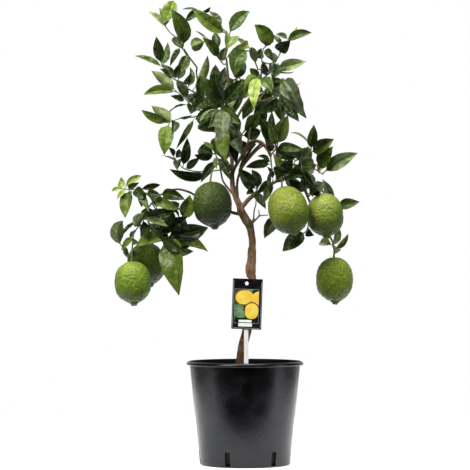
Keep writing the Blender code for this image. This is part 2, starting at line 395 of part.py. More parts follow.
def lathe(profile, segments, axis=Vector((0, 0, 1)), foot=Vector((0, 0, 0)), closed=False):
    """Turn a profile of (radius, height) points, in millimetres, about an axis."""
    bm = bmesh.new()
    across = axis.orthogonal().normalized()
    verts = [bm.verts.new(foot + (across * r + axis * h) * MM) for r, h in profile]
    pairs = list(zip(verts, verts[1:]))
    if closed:
        pairs.append((verts[-1], verts[0]))
    edges = [bm.edges.new(pair) for pair in pairs]
    bmesh.ops.spin(bm, geom=verts + edges, cent=foot, axis=axis, angle=2 * pi, steps=segments, use_merge=True)
    bmesh.ops.remove_doubles(bm, verts=bm.verts, dist=1e-6)
    return bm


def box(name, size, centre, turn=0.0):
    bm = bmesh.new()
    bmesh.ops.create_cube(bm, size=1.0)
    bmesh.ops.scale(bm, vec=Vector(size) * MM, verts=bm.verts)
    mesh = bpy.data.meshes.new(name)
    bm.to_mesh(mesh)
    bm.free()
    obj = bpy.data.objects.new(name, mesh)
    obj.location = Vector(centre) * MM
    obj.rotation_euler = (0, 0, turn)
    bpy.context.scene.collection.objects.link(obj)
    return obj


def wall_radius(z):
    """Inner radius of the pot's wall at a height."""
    share = (z - WALL_FOOT) / (POT_HEIGHT - RIM_DEPTH - WALL_FOOT)
    outer = POT_FOOT_RADIUS + (POT_SHOULDER_RADIUS - POT_FOOT_RADIUS) * share
    return outer - POT_WALL


def make_pot(materials):
    shoulder = POT_HEIGHT - RIM_DEPTH
    profile = [(0, 0), (POT_FOOT_RADIUS - 5, 0), (POT_FOOT_RADIUS - 1, 3), (POT_FOOT_RADIUS, WALL_FOOT),
               (POT_SHOULDER_RADIUS, shoulder), (RIM_RADIUS - 1, shoulder + 0.6),
               (RIM_RADIUS, shoulder + 2.4), (RIM_RADIUS, POT_HEIGHT - 2.2),
               (RIM_RADIUS - 1.2, POT_HEIGHT - 0.4), (RIM_RADIUS - 3.5, POT_HEIGHT),
               (POT_SHOULDER_RADIUS - 0.6, POT_HEIGHT - 1.6),
               (POT_SHOULDER_RADIUS - POT_WALL, shoulder), (wall_radius(WALL_FOOT), WALL_FOOT),
               (POT_FOOT_RADIUS - 5, POT_FLOOR), (0, POT_FLOOR)]
    pot = finish(lathe(profile, POT_SEGMENTS), "pot", materials["pot_plastic"])
    slots = []
    for i in range(SLOT_COUNT):
        angle = radians(SLOT_FIRST + i * 360.0 / SLOT_COUNT)
        middle = POT_FOOT_RADIUS
        height = SLOT_TOP - SLOT_BOTTOM
        slots.append(box(f"slot_cutter_{i}", (SLOT_WIDTH, SLOT_DEPTH, height),
                         (middle * sin(angle), -middle * cos(angle), SLOT_BOTTOM + height / 2), angle))
    cut(pot, slots)
    return pot


def make_soil(materials):
    clear = GAP + 0.1
    edge = wall_radius(SOIL_TOP) - clear
    profile = [(0, POT_FLOOR + GAP), (POT_FOOT_RADIUS - 6, POT_FLOOR + GAP),
               (wall_radius(WALL_FOOT) - clear, WALL_FOOT + 0.6), (edge, SOIL_TOP),
               (edge * 0.6, SOIL_TOP + SOIL_DOME * 0.7), (0, SOIL_TOP + SOIL_DOME)]
    soil = finish(lathe(profile, SOIL_SEGMENTS), "soil", materials["potting_soil"])
    x, y, low, radius = TRUNK[0]
    low -= GAP
    radius += TRUNK_CLEARANCE
    high = SOIL_TOP + SOCKET_REACH
    sink = finish(lathe([(0, low), (radius, low), (radius, high), (0, high)], 12,
                        foot=Vector((x, y, 0)) * MM), "trunk_socket_cutter", materials["bark"])
    depth = high - SOCKET_FLOOR
    socket = box("stake_socket_cutter", (STAKE_WIDTH + 1, STAKE_THICK + 1, depth),
                 (STAKE_X, stake_depth(), SOCKET_FLOOR + depth / 2))
    cut(soil, [sink, socket])
    return soil


def tube_rings(points, radii, sides):
    """Rings of a tube along points, kept from twisting."""
    rings = []
    across = None
    for i, point in enumerate(points):
        ahead = (points[min(i + 1, len(points) - 1)] - points[max(i - 1, 0)]).normalized()
        if across is None:
            across = ahead.orthogonal().normalized()
        across = (across - ahead * across.dot(ahead)).normalized()
        beside = ahead.cross(across)
        turns = [2 * pi * (k + 0.5) / sides for k in range(sides)]
        rings.append([point + (across * cos(t) + beside * sin(t)) * radii[i] for t in turns])
    return rings


def build_tube(bm, rings):
    """Close a row of rings into a tube and return its side faces, ring by ring."""
    loops = [[bm.verts.new(p) for p in ring] for ring in rings]
    count = len(loops[0])
    bm.faces.new(list(reversed(loops[0])))
    bm.faces.new(loops[-1])
    sides = []
    for low, high in zip(loops, loops[1:]):
        row = []
        for k in range(count):
            after = (k + 1) % count
            row.append(bm.faces.new((low[k], low[after], high[after], high[k])))
        sides.append(row)
    return sides


def make_wood(materials):
    """Trunk with its limbs, joined into one body."""
    def limb(name, points, sides):
        bm = bmesh.new()
        rings = tube_rings([place(*p[:3]) for p in points], [p[3] * MM for p in points], sides)
        build_tube(bm, rings)
        return finish(bm, name, materials["bark"])

    wood = limb("trunk_and_limbs", TRUNK, 10)
    for name, points in LIMBS:
        branch = limb(f"limb_{name}", points, 6)
        branch.hide_render = True
        branch.display_type = "WIRE"
        modifier = wood.modifiers.new(name, "BOOLEAN")
        modifier.operation = "UNION"
        modifier.solver = "EXACT"
        modifier.object = branch
    return wood


def make_lemon(materials, name, stalk, stem, tip, radius):
    """A lemon with the stalk that it hangs by, as one body."""
    top, end = place(*stem), place(*tip)
    axis = (end - top).normalized()
    spine = [place(*p) for p in stalk] + [top - axis * NECK * MM, top - axis * 0.4 * MM]
    radii = [STALK_RADIUS * MM] * len(spine)
    for share, spread in LEMON_PROFILE:
        spine.append(top.lerp(end, share) + axis * 0.4 * MM)
        radii.append(radius * spread * MM)
    bm = bmesh.new()
    build_tube(bm, tube_rings(spine, radii, LEMON_SEGMENTS))
    blossom = max(bm.faces, key=lambda f: f.calc_center_median().dot(axis) if len(f.verts) > 4 else -10.0)
    bmesh.ops.poke(bm, faces=[blossom], offset=0.0)
    peak = min(bm.verts, key=lambda v: (v.co - end).length)
    peak.co = end
    return finish(bm, name, materials["lemon_skin"], origin=top)


def stake_depth():
    return TAG_CENTRE[1] + TAG_THICK / 2 + GAP + STAKE_THICK / 2


def make_tag(materials):
    bm = bmesh.new()
    bmesh.ops.create_cube(bm, size=1.0)
    bmesh.ops.scale(bm, vec=Vector((TAG_WIDTH, TAG_THICK, TAG_HEIGHT)) * MM, verts=bm.verts)
    upright = [e for e in bm.edges if abs(e.verts[0].co.y - e.verts[1].co.y) > TAG_THICK * MM * 0.5]
    bmesh.ops.bevel(bm, geom=upright, offset=1.2 * MM, segments=2, affect="EDGES", profile=0.5)
    lean = Matrix.Rotation(radians(TAG_LEAN), 4, "Y")
    bmesh.ops.transform(bm, matrix=lean, verts=bm.verts)
    centre = Vector(TAG_CENTRE) * MM
    bmesh.ops.translate(bm, verts=bm.verts, vec=centre)
    card = finish(bm, "tag_card", materials["tag_card"], origin=centre, smooth=30)
    hole_at = centre + lean @ Vector((TAG_HOLE_SIDE, 0, TAG_HEIGHT / 2 - TAG_HOLE_DROP)) * MM
    hole = finish(lathe([(0, -6), (TAG_HOLE_RADIUS, -6), (TAG_HOLE_RADIUS, 6), (0, 6)], 16,
                        axis=Vector((0, 1, 0)), foot=hole_at), "tag_hole_cutter", materials["tag_card"])
    cut(card, [hole])
    return card


def make_stake(materials):
    bm = bmesh.new()
    half = STAKE_WIDTH / 2
    foot = SOCKET_FLOOR + 2
    shoulder = foot + STAKE_POINT_LENGTH
    outline = [(-half, STAKE_TOP), (-half, shoulder), (-STAKE_POINT_WIDTH / 2, foot),
               (STAKE_POINT_WIDTH / 2, foot), (half, shoulder), (half, STAKE_TOP)]
    y = stake_depth() - STAKE_THICK / 2
    face = bm.faces.new([bm.verts.new(Vector((STAKE_X + x, y, z)) * MM) for x, z in outline])
    grown = bmesh.ops.extrude_face_region(bm, geom=[face])
    moved = [g for g in grown["geom"] if isinstance(g, bmesh.types.BMVert)]
    bmesh.ops.translate(bm, verts=moved, vec=Vector((0, STAKE_THICK, 0)) * MM)
    return finish(bm, "tag_stake", materials["stake_plastic"], smooth=30)


def leaf_rings(foot, tip, width, turn, arch, sweep):
    """Sections of a leaf from its petiole to its tip: left edge, upper face, right edge, lower face."""
    reach = tip - foot
    length = reach.length
    ahead = reach / length
    facing = Vector((0, -1, 0))
    face = facing - ahead * facing.dot(ahead)
    if face.length < 0.25:
        face = Vector((0, 0, 1)) - ahead * ahead.z
    face.normalize()
    up = face * cos(radians(turn)) + ahead.cross(face) * sin(radians(turn))
    left = up.cross(ahead)
    stalk = min(0.22, PETIOLE * MM / length)

    def middle(t):
        bow = 4 * t * (1 - t) * MM
        return foot + reach * t + (up * arch + left * sweep) * bow

    rings = []
    for share, spread in ((None, 0.0),) + BLADE:
        t = stalk if share is None else stalk + (1 - stalk) * share
        centre = middle(t)
        heading = (middle(t + 0.02) - middle(t - 0.02)).normalized()
        over = (up - heading * up.dot(heading)).normalized()
        side = over.cross(heading)
        if share is None:
            r = PETIOLE_RADIUS * MM
            rings.append([centre + side * r, centre + over * r, centre - side * r, centre - over * r])
            continue
        half = width * spread * 0.5 * MM
        lift = over * half * LEAF_FOLD
        skin = over * LEAF_THICK * 0.5 * MM
        rings.append([centre + side * half + lift, centre + skin, centre - side * half + lift, centre - skin])
    return rings, tip


def leaf_tree(rings, tip, foot=None):
    """Search tree of a leaf's surface, from its foot or only its blade, for testing clearance."""
    if foot is not None:
        shift = foot - (rings[0][0] + rings[0][2]) / 2
        rings = [[p + shift for p in rings[0]]] + rings
    verts = [p for ring in rings for p in ring] + [tip]
    rows = len(rings)
    faces = []
    for i in range(rows - 1):
        for k in range(4):
            after = (k + 1) % 4
            faces.append((4 * i + k, 4 * i + after, 4 * i + 4 + after, 4 * i + 4 + k))
    last = 4 * (rows - 1)
    faces += [(last + k, last + (k + 1) % 4, last + 4) for k in range(4)]
    return BVHTree.FromPolygons(verts, faces, epsilon=LEAF_CLEARANCE * MM)


def object_tree(obj):
    graph = bpy.context.evaluated_depsgraph_get()
    shape = obj.evaluated_get(graph).to_mesh()
    verts = [obj.matrix_world @ v.co for v in shape.vertices]
    faces = [tuple(p.vertices) for p in shape.polygons]
    return BVHTree.FromPolygons(verts, faces, epsilon=LEAF_CLEARANCE * MM)


def twig_tree(points, radii):
    rings = tube_rings(points, radii, 4)
    verts = [p for ring in rings for p in ring]
    faces = []
    for i in range(len(rings) - 1):
        for k in range(4):
            after = (k + 1) % 4
            faces.append((4 * i + k, 4 * i + after, 4 * i + 4 + after, 4 * i + 4 + k))
    return BVHTree.FromPolygons(verts, faces, epsilon=LEAF_CLEARANCE * MM)


def spread_feet(shares, points):
    """Distances of leaves' feet along a twig, each with its own length of twig, and half that length."""
    lengths = [(b - a).length for a, b in zip(points, points[1:])]
    total = sum(lengths)
    end = 0.4 * MM
    half = min(PATCH * MM, 0.42 * (total - 2 * end) / len(shares))

    def distance(share):
        index = min(int(share), len(lengths) - 1)
        return sum(lengths[:index]) + lengths[index] * (share - index)

    order = sorted(range(len(shares)), key=lambda i: shares[i])
    feet = {}
    highest = total - half - end
    for i in reversed(order):
        feet[i] = min(distance(shares[i]), highest)
        highest = feet[i] - 2.3 * half
    lowest = half + end
    for i in order:
        feet[i] = max(feet[i], lowest)
        lowest = feet[i] + 2.3 * half
    return feet, half


def point_at(points, radii, distance):
    """Point and radius at a distance along a twig."""
    for i, (a, b) in enumerate(zip(points, points[1:])):
        length = (b - a).length
        if distance <= length or i == len(points) - 2:
            share = max(0.0, min(1.0, distance / length))
            return a.lerp(b, share), radii[i] + (radii[i + 1] - radii[i]) * share
        distance -= length


def settle_leaves(obstacles):
    """Ease each leaf's tip and turn, within limits, until it clears everything placed before it."""
    twigs = {}
    for name, points, thick, thin, leaves in SHOOTS:
        spine = [place(*p) for p in points]
        radii = [(thick + (thin - thick) * i / (len(points) - 1)) * MM for i in range(len(points))]
        twigs[name] = (spine, radii, twig_tree(spine, radii))
    placed = []
    shoots = {}
    for name, points, thick, thin, leaves in SHOOTS:
        spine, radii, own = twigs[name]
        others = [twigs[other][2] for other in twigs if other != name] + obstacles
        feet, half = spread_feet([leaf[0] for leaf in leaves], spine)
        shoots[name] = (half, [])
        for i, (share, x, y, z, width, turn, arch, sweep) in enumerate(leaves):
            foot, radius = point_at(spine, radii, feet[i])
            chosen = None
            for ease, twist in [(d, t) for d in EASE_DEPTH for t in EASE_TURN]:
                rings, tip = leaf_rings(foot, place(x, y + ease, z), width, turn + twist, arch, sweep)
                whole = leaf_tree(rings, tip, foot)
                blade = leaf_tree(rings, tip)
                if blade.overlap(own) or any(whole.overlap(tree) for tree in others):
                    continue
                if any(whole.overlap(tree) for tree in placed):
                    continue
                chosen = (rings, tip, whole)
                break
            if chosen is None:
                print("no room for leaf", i, "of", name)
                chosen = (rings, tip, whole)
            placed.append(chosen[2])
            shoots[name][1].append((feet[i], chosen[0], chosen[1]))
    return twigs, shoots


def grow_leaf(bm, face, rings, tip):
    """Extrude a side of the twig through a leaf's sections to its tip."""
    start = [v.co.copy() for v in face.verts]
    first = rings[0]
    best = min(range(4), key=lambda k: sum((start[i] - first[(i + k) % 4]).length for i in range(4)))
    for ring in rings:
        face = bmesh.ops.extrude_discrete_faces(bm, faces=[face])["faces"][0]
        for i, vert in enumerate(face.verts):
            vert.co = ring[(i + best) % 4]
    face = bmesh.ops.extrude_discrete_faces(bm, faces=[face])["faces"][0]
    bmesh.ops.pointmerge(bm, verts=list(face.verts), merge_co=tip)


def make_shoot(materials, name, spine, radii, half, leaves):
    """A twig with its leaves growing out of its sides, as one body."""
    total = sum((b - a).length for a, b in zip(spine, spine[1:]))
    patches = sorted((foot, i) for i, (foot, rings, tip) in enumerate(leaves))
    cuts = {}
    knots = [0.0]
    for foot, i in patches:
        knots += [foot - half, foot + half]
        cuts[len(knots) - 2] = i
    knots.append(total)
    travelled = 0.0
    extra = []
    for a, b in zip(spine, spine[1:]):
        travelled += (b - a).length
        clear = all(abs(travelled - foot) > half + 0.3 * MM for foot, i in patches)
        if clear and 0.5 * MM < travelled < total - 0.5 * MM:
            extra.append(travelled)
    marks = sorted([(k, cuts.get(n)) for n, k in enumerate(knots)] + [(k, None) for k in extra],
                   key=lambda m: m[0])
    centres, widths = zip(*[point_at(spine, radii, k) for k, leaf in marks])
    bm = bmesh.new()
    sides = build_tube(bm, tube_rings(list(centres), list(widths), 4))
    bmesh.ops.recalc_face_normals(bm, faces=bm.faces)
    jobs = []
    for row, (k, leaf) in enumerate(marks):
        if leaf is None:
            continue
        foot, rings, tip = leaves[leaf]
        middle = point_at(spine, radii, foot)[0]
        toward = (rings[0][0] + rings[0][2]) / 2 - middle
        face = max(sides[row], key=lambda f: f.normal.dot(toward))
        jobs.append((face, rings, tip))
    for face, rings, tip in jobs:
        grow_leaf(bm, face, rings, tip)
    return finish(bm, name, materials["leaf"], origin=spine[0], smooth=50)


def build():
    clear_scene()
    materials = make_materials()
    solid = [make_pot(materials), make_wood(materials), make_tag(materials), make_stake(materials)]
    make_soil(materials)
    solid += [make_lemon(materials, *lemon) for lemon in LEMONS]
    bpy.context.view_layer.update()
    twigs, shoots = settle_leaves([object_tree(obj) for obj in solid])
    for name, (half, leaves) in shoots.items():
        spine, radii, tree = twigs[name]
        make_shoot(materials, name, spine, radii, half, leaves)


build()
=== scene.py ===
"""Potted lemon tree: a young grafted lemon tree with six unripe fruits in a black nursery pot.

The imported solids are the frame. Every visible piece is modelled here around them: the turned pot, the
soil, the barked wood, the leafy shoots, the lemons and the picture tag on its stake.
The tables are in millimetres, front towards -Y, with the origin under the middle of the pot's foot.
"""

from math import cos, pi, radians, sin
from random import Random

import bmesh
import bpy
from bpy.props import FloatProperty, FloatVectorProperty, IntProperty, PointerProperty
from mathutils import Matrix, Vector
from mathutils.bvhtree import BVHTree
from mathutils.kdtree import KDTree


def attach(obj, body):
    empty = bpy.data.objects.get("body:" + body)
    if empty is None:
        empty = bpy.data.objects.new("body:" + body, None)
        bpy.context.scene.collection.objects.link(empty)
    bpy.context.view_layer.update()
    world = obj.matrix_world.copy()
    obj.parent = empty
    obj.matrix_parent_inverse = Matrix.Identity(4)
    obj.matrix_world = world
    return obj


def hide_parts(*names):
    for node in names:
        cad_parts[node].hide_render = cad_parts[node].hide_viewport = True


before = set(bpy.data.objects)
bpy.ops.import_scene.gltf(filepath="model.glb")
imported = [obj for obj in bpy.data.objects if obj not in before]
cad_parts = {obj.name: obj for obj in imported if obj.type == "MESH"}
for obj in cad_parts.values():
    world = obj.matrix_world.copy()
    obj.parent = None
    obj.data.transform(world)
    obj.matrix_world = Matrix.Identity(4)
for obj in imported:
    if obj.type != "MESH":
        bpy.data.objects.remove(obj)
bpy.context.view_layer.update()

bl_info = {
    "name": "Potted Lemon Tree",
    "version": (1, 0, 0),
    "blender": (4, 5, 0),
    "location": "View3D > Sidebar > Lemon Tree",
    "description": "Models a young lemon tree with its fruits in a nursery pot",
    "category": "Add Mesh",
}

MM = 0.001

# Crown: the front of the crown draws in a little towards this level
CROWN_LEVEL = 323.0
CROWN_TAPER = 1.0 / 3550.0

# Leaves
PETIOLE = 9.0
LEAF_FOLD = 0.22          # rise of a blade's edges over its midrib, per half width
PATCH = 1.3               # half length of a twig's side that a petiole grows from
BLADE = ((0.27, 0.96), (0.66, 0.90))   # along the blade, share of its width

# Trunk and limbs: x, y, z, radius of points from foot to end
TRUNK = ((-8, 0, 136, 9.8), (-8, 0, 150, 9.2), (-6.5, 0, 173, 8.2), (-3, 0, 194, 7.8), (3, 0, 218, 7.6),
         (8, 0, 255, 7.0), (11.3, 0, 288, 6.6), (12.2, 0, 303, 6.4), (9.6, 0, 309, 8.3), (9.2, 0, 320, 8.8),
         (10.6, 0, 328, 7.8), (11.3, 0, 347, 7.2), (12.0, 0, 353, 6.0), (11.8, 0, 364, 6.1),
         (9.5, 0, 378, 6.2), (7, 0, 389, 7.2), (1, 0, 398, 7.2), (-6, 0, 411, 6.4), (-9, 1, 421, 5.8),
         (-14.5, 2, 433, 4.9), (-19.5, 3, 449, 4.5), (-21, 4, 470, 3.8), (-21, 5, 486, 3.4),
         (-22, 6, 520, 3.2), (-20, 6, 560, 3.0), (-24, 6, 600, 2.5), (-28, 4, 636, 2.1), (-30, 2, 658, 1.7))
LIMBS = (
    ("right", ((-7, 1, 416, 4.0), (5, -2, 429.5, 3.8), (14.6, -3, 437.7, 3.6), (27.6, 0, 446, 3.2),
               (40.6, 4, 454, 2.8), (55, 9, 462, 2.4), (70, 12, 470, 2.2), (84, 13, 476, 1.8))),
    ("arm", ((-4, 0, 406, 3.2), (-22.7, 7, 410, 2.8), (-50, 18, 424, 2.5), (-78.8, 16, 436, 2.1),
             (-89, 14, 441.7, 2.0), (-102, 12, 446, 1.9), (-112, 10, 447, 1.8), (-122, 8, 445, 1.7),
             (-131, 6, 441.5, 1.6))),
    ("arch", ((-21, 4, 476, 2.6), (-8, -3, 497, 2.4), (2, -6, 514, 2.5), (8, -9, 523, 2.8),
              (18, -12, 525.5, 2.9), (27.6, -14, 522, 3.1), (37.4, -16, 511, 2.9), (42, -17, 500, 2.4))),
    ("arch_low", ((-12, 0, 436, 2.6), (-13, -1, 452, 2.2), (-11, -1, 466, 2.1), (-6, -1, 481, 2.4),
                  (3, -5, 496, 2.3), (13, -8, 508, 2.2), (22, -11, 517, 2.2), (27, -13.5, 521, 2.0))),
    ("arch_back", ((-8, 1, 484, 2.2), (2, 0, 500, 2.6), (10, -3, 513, 2.4), (17, -6, 521, 2.0))),
    ("arch_fan", ((-21, 4, 464, 2.2), (-17, 0, 479, 2.0), (-9, -5, 493, 1.9), (0, -8, 506, 1.9),
                  (9, -10, 517, 1.9), (16, -12, 523, 1.8))),
    ("arch_front", ((-13, -1, 460, 1.8), (-9, -7, 473, 1.7), (-1, -11, 487, 1.6), (8, -14, 498, 1.6),
                    (18, -16, 509, 1.6), (28, -16, 517, 1.6))),
    ("middle", ((-9, -1, 476, 2.2), (-3, 2, 498, 2.0), (2, 4, 514, 1.9), (6, 5, 530, 1.7), (9, 6, 548, 1.4))),
    ("dark", ((-17, 3, 436, 2.2), (-26, 9, 447, 1.8), (-35.7, 12, 460.4, 1.6), (-39, 13, 475, 1.5),
              (-42, 13, 492, 1.3))),
    ("left", ((-21, 5, 540, 2.4), (-38, 8, 558, 2.2), (-55, 10, 576, 2.0), (-68, 8, 600, 1.8),
              (-76, 6, 620, 1.6), (-79, 5, 638, 1.3))),
    ("upper_right", ((-20, 6, 548, 2.4), (-6, 0, 576, 2.2), (8, -6, 596, 2.1), (20, -8, 612, 2.0),
                     (26, -7, 632, 1.7), (27.5, -6, 650, 1.4))),
    ("shoulder", ((5, -5, 591, 2.0), (22, -2, 590, 1.9), (36, -2, 592, 1.8), (45, -3, 595, 1.6))),
    ("low_right", ((64, 11, 467, 2.2), (84, 15, 461, 2.2), (96, 18, 447, 2.1), (106, 24, 425, 2.0),
                   (120, 28, 402, 2.0), (134, 24, 378, 1.9), (142, 20, 362, 1.7))),
    ("snag_left", ((7, 0, 386, 2.0), (13.5, -4, 398, 1.5), (14.8, -5, 412, 1.3), (17.6, -6, 422, 1.2),
                   (17.8, -6, 431, 0.9))),
    ("snag_right", ((8, -1, 387, 2.0), (14, -4, 394, 1.7), (20, -7, 400.5, 1.5), (23, -8, 404.5, 1.3),
                    (22, -8, 414, 0.8))),
    ("snag_out", ((20, -7, 401, 1.5), (24, -8, 403.6, 1.3), (29, -8, 404.6, 1.1), (38, -8, 405, 0.9))),
)

# Lemons: stalk from the branch, stem end, blossom tip, largest radius
LEMONS = (
    ("lemon_front", ((60, 5.6, 460.6), (60, -5, 459), (60, -18, 455)), (60.5, -24, 447), (82, -58, 373.5),
     32.3),
    ("lemon_right", ((104.8, 20.5, 437), (113, 18, 448), (121, 8, 450)), (128, -3, 438.5), (133, -20, 367),
     29.6),
    ("lemon_low_right", ((145, 7.6, 345.4),), (144.5, 6, 336), (146.5, 4, 260), 30.0),
    ("lemon_centre", ((-42.2, 10.4, 488), (-47, 0, 486), (-53, -15, 478)), (-56, -30, 458), (-49, -40, 382),
     31.3),
    ("lemon_low_left", ((-184, -22.3, 340.6),), (-184, -24, 329), (-180, -30, 257.5), 29.5),
    ("lemon_back_left", ((-170.5, 0.4, 389), (-170, 14, 384), (-168, 28, 376)), (-165, 40, 359),
     (-154, 34, 288), 31.5),
)

